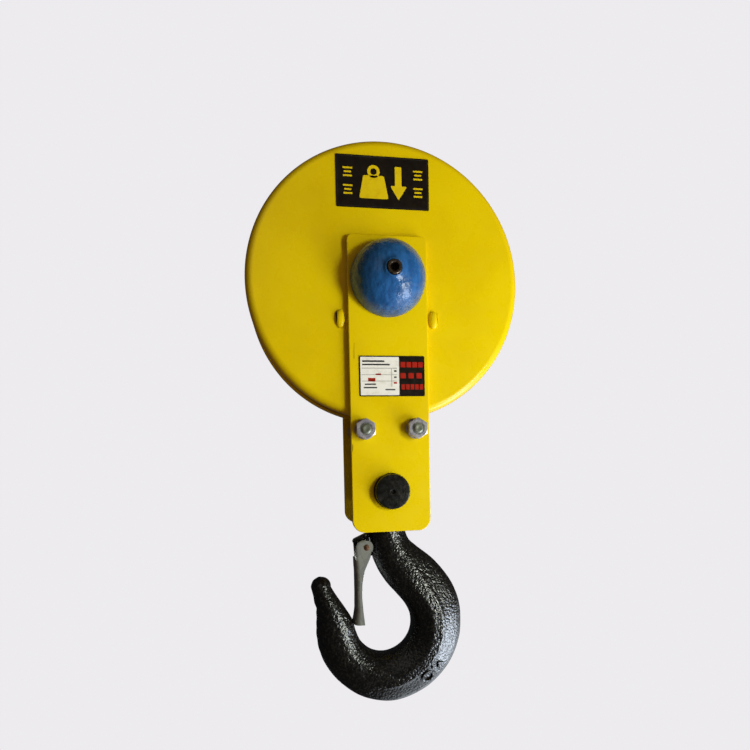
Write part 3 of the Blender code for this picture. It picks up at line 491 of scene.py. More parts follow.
@dataclass
class Finishes:
    """Every finish on the block, each mixed once, with the record's slot that it stands for."""

    made: dict[str, tuple[Material, str]] = field(default_factory=dict)

    def __post_init__(self) -> None:
        """Mixes each finish and notes the record's slot for it."""
        table = (
            ("enamel", BakedEnamel(), "yellow_enamel"), ("blue", BrushedEnamel(), "blue_enamel"),
            ("forging", ForgedBlack(), "black_paint"),
            ("journal", MachinedBlack(height=sum(v.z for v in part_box("crossbeam")) / 2), "black_paint"),
            ("zinc", PlatedSteel(), "zinc_plate"),
            ("stud", PlatedSteel("zinc_plated_thread", "A3A89A", "7F8577", 0.36), "zinc_plate"),
            ("dull_zinc", PlatedSteel("dull_zinc_washer", "C4C2CC", "A8A6B0", 0.44), "zinc_plate"),
            ("strip", GalvanisedSheet(), "zinc_plate"), ("steel", GroundSteel(), "bearing_steel"),
            ("wire", SpringWire(), "bearing_steel"), ("iron", SandCastIron(), "cast_iron"),
            ("browned", BrownedSteel(), "bare_rivet"),
            ("oiled", BrownedSteel("oiled_dark_steel", "6A5E50", "37281C", "17120E"), "bare_rivet"),
            ("black_film", Film("black_vinyl_film", "17110C", "211912"), "label_film"),
            ("white_film", Film("white_vinyl_film", "EEEEF0", "DCDAD8"), "label_paper"),
            ("yellow_ink", Film("yellow_screen_ink", "E2C60C", "D6B60C"), "yellow_enamel"),
            ("red_ink", Film("red_screen_ink", "A81E10", "7C2014"), "label_film"),
            ("dark_ink", Film("dark_screen_ink", "2B2A2C", "403E40"), "label_film"),
            ("grey_ink", Film("grey_screen_ink", "8E9094", "A4A4A8"), "label_film"),
            # Painted shadow: a near-black film that stands in for the shade inside holes, kept under the black
            # paint slot.
            ("painted_hole_shadow", Film("shadowed_hole", "050505", "0A0A0A", 0.7), "black_paint"),
        )
        for key, finish, slot in table:
            self.made[key] = (finish.make(), slot)

    def material(self, key: str) -> Material:
        """The material of one finish."""
        return self.made[key][0]

    def dress_node(self, key: str, *nodes: str) -> None:
        """Gives CAD nodes that stay as they are a finish."""
        for name in nodes:
            mesh = frame["nodes"][name].data
            mesh.materials.clear()
            mesh.materials.append(self.material(key))
            LOG.info("dressed %s in %s", name, key)


# --- Geometry ---


def named_input(modifier: bpy.types.Modifier, name: str, value: object) -> None:
    """Sets a Geometry Nodes modifier's input by its socket's identifier."""
    for item in modifier.node_group.interface.items_tree:
        if item.name == name and item.in_out == "INPUT":
            modifier[item.identifier] = value


def node_group(name: str, inputs: Sequence[tuple[str, str]]) -> tuple[bpy.types.NodeTree, bpy.types.Node, bpy.types.Node]:
    """Starts a Geometry Nodes tree.

    Args:
        name: The tree's name.
        inputs: Each input's name and socket type, after the geometry.

    Returns:
        The tree, its input node and its output node.
    """
    tree = bpy.data.node_groups.new(name, "GeometryNodeTree")
    tree.interface.new_socket("Geometry", in_out="INPUT", socket_type="NodeSocketGeometry")
    for label, kind in inputs:
        tree.interface.new_socket(label, in_out="INPUT", socket_type=f"NodeSocket{kind}")
    tree.interface.new_socket("Geometry", in_out="OUTPUT", socket_type="NodeSocketGeometry")
    return tree, add(tree, "NodeGroupInput"), add(tree, "NodeGroupOutput")


def lathe_tree() -> bpy.types.NodeTree:
    """A tree that turns a profile of edges about Z: Steps faces round, dressed in Finish."""
    tree, given, out = node_group("lathe", (("Steps", "Int"), ("Finish", "Material")))
    profile = add(tree, "GeometryNodeMeshToCurve", {"Mesh": given.outputs["Geometry"]})
    # The circle is only an axis to turn about: the profile holds the true radii.
    axis = add(tree, "GeometryNodeCurvePrimitiveCircle",
               {"Resolution": given.outputs["Steps"], "Radius": 1e-7})
    turned = add(tree, "GeometryNodeCurveToMesh", {
        "Curve": axis.outputs["Curve"], "Profile Curve": profile.outputs["Curve"]})
    merged = add(tree, "GeometryNodeMergeByDistance", {
        "Geometry": turned.outputs["Mesh"], "Distance": 2e-6})
    dressed = add(tree, "GeometryNodeSetMaterial", {
        "Geometry": merged.outputs["Geometry"], "Material": given.outputs["Finish"]})
    tree.links.new(dressed.outputs["Geometry"], out.inputs["Geometry"])
    return tree


def row_tree() -> bpy.types.NodeTree:
    """A tree that repeats its geometry Count times from Start, a Step apart."""
    tree, given, out = node_group("row", (
        ("Count", "Int"), ("Start", "Vector"), ("Step", "Vector"), ("Finish", "Material")))
    line = add(tree, "GeometryNodeMeshLine", {
        "Count": given.outputs["Count"], "Start Location": given.outputs["Start"],
        "Offset": given.outputs["Step"]})
    copies = add(tree, "GeometryNodeInstanceOnPoints", {
        "Points": line.outputs["Mesh"], "Instance": given.outputs["Geometry"]})
    real = add(tree, "GeometryNodeRealizeInstances", {"Geometry": copies.outputs["Instances"]})
    dressed = add(tree, "GeometryNodeSetMaterial", {
        "Geometry": real.outputs["Geometry"], "Material": given.outputs["Finish"]})
    tree.links.new(dressed.outputs["Geometry"], out.inputs["Geometry"])
    return tree


def thread_tree() -> bpy.types.NodeTree:
    """A tree that winds a thread's ridge about Z, over Turns of Pitch at Radius."""
    tree, given, out = node_group("thread", (
        ("Turns", "Float"), ("Radius", "Float"), ("Length", "Float"), ("Ridge", "Float"),
        ("Finish", "Material")))
    path = add(tree, "GeometryNodeCurveSpiral", {
        "Resolution": 40, "Rotations": given.outputs["Turns"], "Start Radius": given.outputs["Radius"],
        "End Radius": given.outputs["Radius"], "Height": given.outputs["Length"]})
    ridge = add(tree, "GeometryNodeCurvePrimitiveCircle", {
        "Resolution": 6, "Radius": given.outputs["Ridge"]})
    wound = add(tree, "GeometryNodeCurveToMesh", {
        "Curve": path.outputs["Curve"], "Profile Curve": ridge.outputs["Curve"], "Fill Caps": True})
    both = add(tree, "GeometryNodeJoinGeometry")
    tree.links.new(given.outputs["Geometry"], both.inputs["Geometry"])
    tree.links.new(wound.outputs["Mesh"], both.inputs["Geometry"])
    dressed = add(tree, "GeometryNodeSetMaterial", {
        "Geometry": both.outputs["Geometry"], "Material": given.outputs["Finish"]})
    tree.links.new(dressed.outputs["Geometry"], out.inputs["Geometry"])
    return tree


def link_object(name: str, data: bpy.types.ID) -> Object:
    """Puts a new object with this data in the scene."""
    obj = bpy.data.objects.new(name, data)
    bpy.context.scene.collection.objects.link(obj)
    return obj


def drop(obj: Object) -> None:
    """Removes a helper object from the file."""
    bpy.data.objects.remove(obj, do_unlink=True)


def evaluated_mesh(obj: Object) -> Mesh:
    """The object's mesh with its modifiers applied, as a mesh of its own."""
    graph = bpy.context.evaluated_depsgraph_get()
    return bpy.data.meshes.new_from_object(obj.evaluated_get(graph))


def run_nodes(mesh: Mesh, tree: bpy.types.NodeTree, **inputs: object) -> Mesh:
    """Runs a Geometry Nodes tree on a mesh.

    Args:
        mesh: The geometry that the tree takes.
        tree: The tree.
        **inputs: Values for the tree's named inputs.

    Returns:
        The plain mesh that the tree makes.
    """
    helper = link_object("helper", mesh)
    modifier = helper.modifiers.new("nodes", "NODES")
    modifier.node_group = tree
    for name, value in inputs.items():
        named_input(modifier, name, value)
    made = evaluated_mesh(helper)
    drop(helper)
    return made


def rounded(points: Sequence[Point], radius: float, steps: int = 4, closed: bool = False) -> list[Point]:
    """Rounds the corners of a line of points.

    Args:
        points: The corners, in order.
        radius: The corner radius, cut down where a side is short.
        steps: Points in each rounded corner.
        closed: Whether the last point joins the first.

    Returns:
        The rounded line.
    """
    count = len(points)
    out: list[Point] = []
    for i, point in enumerate(points):
        here = Vector(point)
        before, after = Vector(points[i - 1]), Vector(points[(i + 1) % count])
        if not closed and i in (0, count - 1):
            out.append(point)
            continue
        to_before, to_after = before - here, after - here
        if min(to_before.length, to_after.length) < 1e-9:
            continue
        half = to_before.angle(to_after) / 2
        if half > math.radians(88):
            out.append(point)
            continue
        cut = min(radius / math.tan(half), 0.45 * to_before.length, 0.45 * to_after.length)
        start, end = here + to_before.normalized() * cut, here + to_after.normalized() * cut
        for k in range(steps + 1):
            t = k / steps
            spot = start * (1 - t) ** 2 + here * (2 * t * (1 - t)) + end * t * t
            out.append((spot.x, spot.y))
    return out


def arc(x: float, y: float, radius: float, start: float, end: float, steps: int) -> list[Point]:
    """Points on an arc, from one angle to another in degrees."""
    angles = [math.radians(start + (end - start) * i / steps) for i in range(steps + 1)]
    return [(x + radius * math.cos(a), y + radius * math.sin(a)) for a in angles]


def box_outline(left: float, right: float, low: float, high: float, radii: Sequence[float],
                steps: int = 10) -> list[Point]:
    """A rectangle with its lower and upper corners rounded by two radii."""
    below, above = radii
    return (arc(right - above, high - above, above, 0, 90, steps)
            + arc(left + above, high - above, above, 90, 180, steps)
            + arc(left + below, low + below, below, 180, 270, steps)
            + arc(right - below, low + below, below, 270, 360, steps))


def turned(profile: Sequence[Point], steps: int, finish: Material, place: Matrix | None = None) -> Mesh:
    """Turns a profile about Z with the lathe tree.

    Args:
        profile: (radius, height) points. One that starts off the axis is closed into a ring.
        steps: Faces round the piece.
        finish: The material.
        place: Where the turned piece goes.

    Returns:
        The mesh, in place.
    """
    mesh = bpy.data.meshes.new("profile")
    edges = [(i, i + 1) for i in range(len(profile) - 1)]
    if profile[0][0] > 0:
        edges.append((len(profile) - 1, 0))
    mesh.from_pydata([(radius, -height, 0) for radius, height in profile], edges, [])
    made = run_nodes(mesh, TREES["lathe"], Steps=steps, Finish=finish)
    made.transform(place or Matrix.Identity(4))
    return made


def slab(outlines: Sequence[Sequence[Point]], low: float, high: float, edge: float,
         place: Matrix | None = None) -> Mesh:
    """A flat plate between two heights, with its rims rounded by edge.

    Args:
        outlines: The outer outline, then any holes.
        low: The lower face's height.
        high: The upper face's height.
        edge: The radius on the rims, or 0 for square ones.
        place: Where the plate goes after it is made about Z.

    Returns:
        The mesh, welded and in place.
    """
    curve = bpy.data.curves.new("plate", "CURVE")
    curve.dimensions = "2D"
    curve.fill_mode = "BOTH"
    curve.extrude = (high - low) / 2 - edge
    curve.bevel_depth = edge
    curve.bevel_resolution = 2
    curve.offset = -edge
    for outline in outlines:
        spline = curve.splines.new("POLY")
        spline.points.add(len(outline) - 1)
        spline.use_cyclic_u = True
        for point, (x, y) in zip(spline.points, outline):
            point.co = (x, y, 0, 1)
    helper = link_object("helper", curve)
    mesh = evaluated_mesh(helper)
    drop(helper)
    mesh.transform((place or Matrix.Identity(4)) @ Matrix.Translation((0, 0, (low + high) / 2)))
    return mesh


def joined(meshes: Iterable[Mesh]) -> Mesh:
    """Joins meshes into one, each still a closed shell of its own."""
    built = bmesh.new()
    for mesh in meshes:
        built.from_mesh(mesh)
    out = bpy.data.meshes.new("joined")
    built.to_mesh(out)
    built.free()
    return out


def boolean(target: Mesh, tool: Mesh, operation: str) -> Mesh:
    """Joins or cuts two closed meshes with an exact Boolean."""
    body, cutter = link_object("body", clean(target)), link_object("cutter", clean(tool))
    modifier = body.modifiers.new("boolean", "BOOLEAN")
    modifier.operation, modifier.object, modifier.solver = operation, cutter, "EXACT"
    made = evaluated_mesh(body)
    drop(body)
    drop(cutter)
    return made


def clean(mesh: Mesh) -> Mesh:
    """Merges doubles and turns every face outwards."""
    built = bmesh.new()
    built.from_mesh(mesh)
    bmesh.ops.remove_doubles(built, verts=built.verts, dist=1e-6)
    bmesh.ops.dissolve_degenerate(built, edges=built.edges, dist=1e-7)
    bmesh.ops.recalc_face_normals(built, faces=built.faces)
    if built.calc_volume(signed=True) < 0:
        bmesh.ops.reverse_faces(built, faces=built.faces)
    built.to_mesh(mesh)
    built.free()
    return mesh


def pushed(mesh: Mesh, shift: Callable[[Vector, Vector], Vector]) -> Mesh:
    """Moves each vertex of a clean mesh by shift(position, normal)."""
    clean(mesh)
    moves = [shift(vertex.co.copy(), vertex.normal.copy()) for vertex in mesh.vertices]
    for vertex, move in zip(mesh.vertices, moves):
        vertex.co += move
    return mesh


@dataclass
class Piece:
    """One finished object: its mesh at the origin, its finish, body and replaced nodes."""

    name: str
    mesh: Mesh
    finish: str
    body: Body
    nodes: tuple[str, ...] = ()
    crease: float = 32.0
    keep_materials: bool = False

    def settle(self, finishes: Finishes) -> Object:
        """Cleans, shades and dresses the mesh, and hangs it on its body.

        Args:
            finishes: The finishes that the piece may take.

        Returns:
            The finished object.
        """
        mesh = clean(self.mesh)
        mesh.name = self.name
        material, slot = finishes.made[self.finish]
        if not self.keep_materials:
            mesh.materials.clear()
            mesh.materials.append(material)
            mesh.polygons.foreach_set("material_index", [0] * len(mesh.polygons))
        mesh.polygons.foreach_set("use_smooth", [True] * len(mesh.polygons))
        mesh.set_sharp_from_angle(angle=math.radians(self.crease))
        helper = link_object("helper", mesh)
        weighted = helper.modifiers.new("flats", "WEIGHTED_NORMAL")
        weighted.keep_sharp = True
        final = evaluated_mesh(helper)
        drop(helper)
        obj = link_object(self.name, final)
        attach(obj, self.body.value)
        if self.nodes:
            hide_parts(*self.nodes)
        LOG.info("%s: %d faces on %s", self.name, len(final.polygons), self.body.value)
        return obj


TREES = {"lathe": lathe_tree(), "row": row_tree(), "thread": thread_tree()}


def ring_profile(inner: float, outer: float, low: float, high: float, edge: float) -> list[Point]:
    """A ring's section with its four corners rounded by edge."""
    corners = [(inner, high), (outer, high), (outer, low), (inner, low)]
    return rounded(corners, edge, 3, closed=True)


def centre_of(node: str) -> Vector:
    """The middle of a CAD node's box."""
    low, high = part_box(node)
    return (low + high) / 2


# --- Sheave and its bearings ---


@dataclass
class SheaveWheel:
    """The cast sheave: groove, rim, web and hub, turned as one section, and its bearings."""

    radius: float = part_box("sheave")[1].x
    groove_depth: float = 14.5 * MM
    groove_radius: float = 5.83 * MM
    flank: float = math.radians(22.5)
    rim_half: float = 14.5 * MM
    rim_depth: float = 6.5 * MM
    web_half: float = 4.5 * MM
    bore: float = 40 * MM
    hub_wall: float = 9 * MM
    hub_half: float = 24.9 * MM
    fillet: float = 3 * MM
    steps: int = 160

    def profile(self) -> list[Point]:
        """Half of the section from the bore to the groove's bottom, then its mirror image."""
        bottom = self.radius - self.groove_depth
        flank_r = bottom + self.groove_radius * (1 - math.sin(self.flank))
        flank_y = self.groove_radius * math.cos(self.flank)
        mouth = flank_y + (self.radius - flank_r) * math.tan(self.flank)
        hub = self.bore + self.hub_wall
        rim_inner = bottom - self.rim_depth
        half = rounded([
            (self.bore + 0.001, self.hub_half), (hub, self.hub_half), (hub + 0.002, self.web_half),
            (rim_inner - 0.002, self.web_half), (rim_inner, self.rim_half),
            (self.radius, self.rim_half), (self.radius, mouth), (flank_r, flank_y)], self.fillet, 5)
        floor = [(bottom + self.groove_radius * (1 - math.cos(a)), self.groove_radius * math.sin(a))
                 for a in np.linspace(math.radians(90) - self.flank, 0, 9)[1:-1]]
        side = half + floor
        inside = [(self.bore, self.hub_half - 0.001), (self.bore, 0.003), (self.bore - 0.0035, 0.003)]
        return (side + [(bottom, 0.0)] + [(r, -y) for r, y in reversed(side)]
                + [(r, -y) for r, y in inside] + list(reversed(inside)))

    def build(self, finishes: Finishes) -> None:
        """Turns the sheave, and dresses the CAD bearings inside it."""
        mesh = turned(self.profile(), self.steps, finishes.material("iron"), Side.FRONT.turn)
        Piece("sheave_casting", mesh, "iron", Body.SHEAVE, ("sheave",)).settle(finishes)
        for side in Side:
            finishes.dress_node("steel", *(f"{side.label}_{part}" for part in (
                "bearing_inner_race", "bearing_outer_race", "bearing_balls", "shaft_sleeve", "lock_nut")))
            finishes.dress_node("wire", f"{side.label}_hub_circlip")
            finishes.dress_node("zinc", f"{side.label}_lock_washer")
        finishes.dress_node("steel", "inner_race_spacer", "sheave_shaft")


# --- Covers and guard band ---


@dataclass
class CoverShells:
    """The two dished covers, each with a lanced ear on both sides of its side plate."""

    radius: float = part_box("front_cover")[1].x
    face: float = -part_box("front_side_plate")[1].y - 0.3 * MM
    sheet: float = 2.5 * MM
    corner: float = 7.5 * MM
    skirt_end: float = 14 * MM
    hole: float = 15.3 * MM
    steps: int = 224
    ear_x: float = 42.6 * MM
    ear_z: float = -34.5 * MM
    ear_size: tuple[float, float, float] = (4.2 * MM, 8.2 * MM, 4.4 * MM)
    slit: tuple[float, float] = (1.5 * MM, 10.5 * MM)

    def profile(self) -> list[Point]:
        """The dish's section: face, rounded corner, skirt, rolled edge, and back inside."""
        middle_r, middle_y = self.radius - self.corner, self.face - self.corner
        outer = arc(middle_r, middle_y, self.corner, 90, 0, 14)
        inner = arc(middle_r, middle_y, self.corner - self.sheet, 0, 90, 10)
        edge = self.sheet / 2
        rim = arc(self.radius - edge, self.skirt_end + edge, edge, 0, -180, 8)
        # A few rings of points lie across the flat face.
        rings = [(self.hole + (middle_r - self.hole) * t, self.face) for t in np.linspace(0, 1, 9)[:-1]]
        back = [(middle_r, self.face - self.sheet), (self.hole, self.face - self.sheet)]
        return rings + outer + rim + inner[:-1] + back

    def ear(self, x: float) -> Mesh:
        """One ear: a pressed-up blister that stands on the cover's face."""
        built = bmesh.new()
        bmesh.ops.create_uvsphere(built, u_segments=40, v_segments=24, radius=1.0)
        wide, tall, proud = self.ear_size
        for vertex in built.verts:
            spot = vertex.co
            up = math.copysign(abs(spot.z) ** 0.8, spot.z)
            vertex.co = Vector((
                x + wide * math.copysign(abs(spot.x) ** 0.85, spot.x),
                self.ear_z + tall * spot.y,
                self.face + (proud if up > 0 else self.sheet * 0.8) * up))
        mesh = bpy.data.meshes.new("ear")
        built.to_mesh(mesh)
        built.free()
        return mesh

    def slit_tool(self, x: float) -> Mesh:
        """The lancing slit's cutter, on the ear's outer side, tapered to its foot."""
        wide, tall = self.slit
        middle = x + math.copysign(self.ear_size[0] * 0.82, x)
        top, foot = self.ear_z + 1.4 * MM + tall / 2, self.ear_z + 1.4 * MM - tall / 2
        outline = [(middle - wide / 2, top), (middle + wide / 2, top), (middle + wide * 0.2, foot),
                   (middle - wide * 0.2, foot)]
        return slab([outline], self.face - 2 * self.ear_size[2], self.face + 2 * self.ear_size[2], 0.0)

    def shell(self, finishes: Finishes, side: Side) -> Mesh:
        """One cover with its ears, in place."""
        mesh = turned(self.profile(), self.steps, finishes.material("enamel"))
        for x in (-self.ear_x, self.ear_x):
            mesh = boolean(mesh, self.ear(x), "UNION")
            mesh = boolean(mesh, self.slit_tool(x), "DIFFERENCE")
        mesh.transform(side.turn)
        return mesh

    def build(self, finishes: Finishes) -> None:
        """Builds both covers."""
        for side in Side:
            name = f"{side.label}_cover"
            Piece(f"{name}_shell", self.shell(finishes, side), "enamel", Body.FRAME, (name,),
                  crease=28).settle(finishes)


@dataclass
class GuardBand:
    """The strip under the sheave that keeps the rope in, welded inside both skirts."""

    radius: float = 121.6 * MM
    sheet: float = 2.5 * MM
    half_width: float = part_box("lower_guard_band")[1].y
    start: float = 13.0
    steps: int = 120

    def build(self, finishes: Finishes) -> None:
        """Bends the strip along its arc."""
        outline = arc(0, 0, self.radius, 180 + self.start, 360 - self.start, self.steps)
        outline += arc(0, 0, self.radius - self.sheet, 360 - self.start, 180 + self.start, self.steps)
        mesh = slab([outline], -self.half_width, self.half_width, 0.4 * MM, Side.FRONT.turn)
        Piece("guard_band_strip", mesh, "enamel", Body.FRAME, ("lower_guard_band",)).settle(finishes)


# --- Side plates, domes and grease stubs ---


@dataclass
class SidePlates:
    """The two cheek plates, with their holes and the rolled-off edges of sheared plate."""

    inner: float = -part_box("front_side_plate")[1].y
    outer: float = -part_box("front_side_plate")[0].y
    edge: float = 0.9 * MM
    corners: tuple[float, float] = (11 * MM, 5.5 * MM)
    shaft_hole: float = 15.3 * MM
    journal_hole: float = 16.2 * MM
    bolt_hole: float = 5.3 * MM

    def outlines(self) -> list[list[Point]]:
        """The plate's outline and its four holes."""
        low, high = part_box("front_side_plate")
        beam, tie = centre_of("crossbeam"), centre_of("right_tie_nut")
        return [
            box_outline(low.x, high.x, low.z, high.z, self.corners),
            arc(0, 0, self.shaft_hole, 0, 360, 64)[:-1],
            arc(0, beam.z, self.journal_hole, 0, 360, 64)[:-1],
            arc(-tie.x, tie.z, self.bolt_hole, 0, 360, 32)[:-1],
            arc(tie.x, tie.z, self.bolt_hole, 0, 360, 32)[:-1],
        ]

    def build(self, finishes: Finishes) -> None:
        """Cuts both plates."""
        for side in Side:
            mesh = slab(self.outlines(), self.inner, self.outer, self.edge, side.turn)
            Piece(f"{side.label}_cheek_plate", mesh, "enamel", Body.FRAME,
                  (f"{side.label}_side_plate",)).settle(finishes)


@dataclass
class DomesAndStubs:
    """The pressed caps over the shaft's ends, each pierced by a hollow grease stub."""

    base: float = -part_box("front_dome_cap")[1].y
    radius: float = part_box("front_dome_cap")[1].x
    rise: float = 32 * MM
    sheet: float = 3 * MM
    stub_radius: float = 6.2 * MM
    stub_bore: float = 3.6 * MM
    bore_depth: float = 8 * MM
    lump: float = 0.5 * MM

    def dome_profile(self) -> list[Point]:
        """The cap's section, with a small collar drawn up round the stub."""
        hole = self.stub_radius + 0.3 * MM
        shell = [(self.radius * math.cos(a), self.rise * math.sin(a))
                 for a in np.linspace(math.acos(11.5 * MM / self.radius), 0, 40)]
        top = shell[0][1]
        collar = [(hole, top + 2.9 * MM), (hole + 0.9 * MM, top + 3.0 * MM),
                  (hole + 1.7 * MM, top + 2.3 * MM), (hole + 2.4 * MM, top + 1.35 * MM),
                  (hole + 3.6 * MM, top + 0.7 * MM)]
        inner_radius, inner_rise = self.radius - self.sheet, self.rise - self.sheet
        inside = [(inner_radius * math.cos(a), inner_rise * math.sin(a))
                  for a in np.linspace(0, math.acos(hole / inner_radius), 16)]
        return [(r, self.base + h) for r, h in collar + shell + inside]

    def stub_profile(self) -> list[Point]:
        """The stub's section: a thick tube with a burred rim, plugged below."""
        low, high = (abs(v) for v in (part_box("front_grease_stub")[1].y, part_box("front_grease_stub")[0].y))
        floor = high - self.bore_depth
        corners = [(0.0, floor), (self.stub_bore, floor), (self.stub_bore, high - 0.5 * MM),
                   (self.stub_bore + 0.5 * MM, high), (self.stub_radius - 0.6 * MM, high),
                   (self.stub_radius, high - 0.6 * MM), (self.stub_radius, low), (0.0, low)]
        return rounded(corners, 0.3 * MM, 3)

    def build(self, finishes: Finishes) -> None:
        """Turns the caps, works the sags of thick paint into them, and sets the stubs."""
        def sag(spot: Vector, normal: Vector) -> Vector:
            depth = noise.noise(spot * 90) + 0.6 * noise.noise(spot * 210)
            return normal * (-self.lump * (0.5 + 0.5 * depth))

        for side in Side:
            mesh = turned(self.dome_profile(), 128, finishes.material("blue"), side.turn)
            Piece(f"{side.label}_dome_pressing", pushed(mesh, sag), "blue", Body.FRAME,
                  (f"{side.label}_dome_cap",), crease=50).settle(finishes)
            stub = turned(self.stub_profile(), 48, finishes.material("oiled"), side.turn)
            Piece(f"{side.label}_grease_tube", stub, "oiled", Body.FRAME,
                  (f"{side.label}_grease_stub",)).settle(finishes)


# --- Tie bolts ---


@dataclass
class TieBolts:
    """The pair of bolts that tie the plates: heads behind, nuts in front, spacers between."""

    x: float = centre_of("right_tie_nut").x
    z: float = centre_of("right_tie_nut").z
    flats: float = 16.5 * MM
    bolt_radius: float = 5 * MM
    pitch: float = 1.5 * MM
    head_height: float = 6.4 * MM

    def hexagon(self, low: float, high: float, bore: float, chamfer: Sequence[bool]) -> Mesh:
        """A hexagon chamfered to a circle at the chosen ends, with corners up and down."""
        corner = self.flats / math.sqrt(3)
        prism = slab([arc(0, 0, corner, 90, 450, 6)[:-1]], low, high, 0.0)
        flat, drop_down = self.flats / 2 * 0.97, (corner - self.flats / 2) * 0.5
        below, above = ((flat, drop_down) if cut else (corner * 1.02, 0.0) for cut in chamfer)
        lower = [(corner * 1.02, low + below[1]), (below[0], low)]
        upper = [(above[0], high), (corner * 1.02, high - above[1])]
        if bore:
            sink = 0.8 * MM
            inside = [(bore + sink, low), (bore, low + sink), (bore, high - sink), (bore + sink, high)]
        else:
            inside = [(0.0, low), (0.0, high)]
        outside = upper + lower
        profile = outside + inside if bore else [inside[1]] + outside + [inside[0]]
        limit = turned([p for i, p in enumerate(profile) if i == 0 or p != profile[i - 1]], 96, None)
        return boolean(prism, limit, "INTERSECT")

    def pair(self, mesh: Mesh, finish: Material) -> Mesh:
        """Repeats a fastener that stands on the middle line at both bolts."""
        return run_nodes(mesh, TREES["row"], Count=2, Start=(-self.x, 0.0, self.z),
                         Step=(2 * self.x, 0.0, 0.0), Finish=finish)

    def heights(self, node: str) -> tuple[float, float]:
        """A CAD node's nearest and farthest distance from the middle plane."""
        low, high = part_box(node)
        return min(abs(low.y), abs(high.y)), max(abs(low.y), abs(high.y))

    def build(self, finishes: Finishes) -> None:
        """Makes each kind of fastener once and repeats it."""
        zinc, stud = finishes.material("zinc"), finishes.material("stud")
        nut_low, nut_high = self.heights("right_tie_nut")
        nut = self.hexagon(nut_low, nut_high, self.bolt_radius + 0.1 * MM, (True, True))
        nut.transform(Side.FRONT.turn)
        Piece("tie_nut_pair", self.pair(nut, zinc), "zinc", Body.FRAME,
              ("left_tie_nut", "right_tie_nut"), crease=20).settle(finishes)
        washer_low, washer_high = self.heights("right_tie_washer")
        washer_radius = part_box("right_tie_washer")[1].x - self.x - 0.5 * MM
        section = ring_profile(self.bolt_radius + 0.3 * MM, washer_radius, washer_low, washer_high, 0.4 * MM)
        washers = joined([turned(section, 64, zinc, side.turn) for side in Side])
        Piece("tie_washer_set", self.pair(washers, zinc), "dull_zinc", Body.FRAME, tuple(
            f"{hand}_tie_{part}" for hand in ("left", "right")
            for part in ("washer", "head_washer"))).settle(finishes)
        spacer_end = self.heights("right_tie_spacer")[1]
        spacer_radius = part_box("right_tie_spacer")[1].x - self.x
        tube = ring_profile(self.bolt_radius + 0.3 * MM, spacer_radius, -spacer_end, spacer_end, 0.5 * MM)
        Piece("tie_spacer_pair", self.pair(turned(tube, 48, zinc, Side.FRONT.turn), zinc), "zinc",
              Body.FRAME, ("left_tie_spacer", "right_tie_spacer")).settle(finishes)
        end = -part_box("right_tie_bolt")[0].y
        root = self.bolt_radius - 0.45 * MM
        threaded = 16 * MM
        shank = turned([(0.0, end - 0.25 * MM), (1.6 * MM, end - 0.2 * MM), (2.1 * MM, end), (3.2 * MM, end),
                        (3.5 * MM, end - 0.2 * MM), (root, end - 1.3 * MM), (root, end - threaded),
                        (self.bolt_radius, end - threaded - 0.5 * MM), (self.bolt_radius, -nut_low),
                        (0.0, -nut_low)], 48, stud)
        start = Matrix.Translation((0, 0, -(end - threaded)))
        shank.transform(start)
        shank = run_nodes(shank, TREES["thread"], Turns=(threaded - 1.2 * MM) / self.pitch, Radius=root,
                          Length=threaded - 1.2 * MM, Ridge=0.44 * MM, Finish=stud)
        shank.transform(Side.FRONT.turn @ start.inverted())
        head = self.hexagon(nut_low, nut_low + self.head_height, 0.0, (False, True))
        head.transform(Side.REAR.turn)
        Piece("tie_bolt_pair", self.pair(joined([shank, head]), stud), "stud", Body.FRAME,
              ("left_tie_bolt", "right_tie_bolt"), crease=25).settle(finishes)


# --- Crossbeam, thrust bearing and hook nut ---


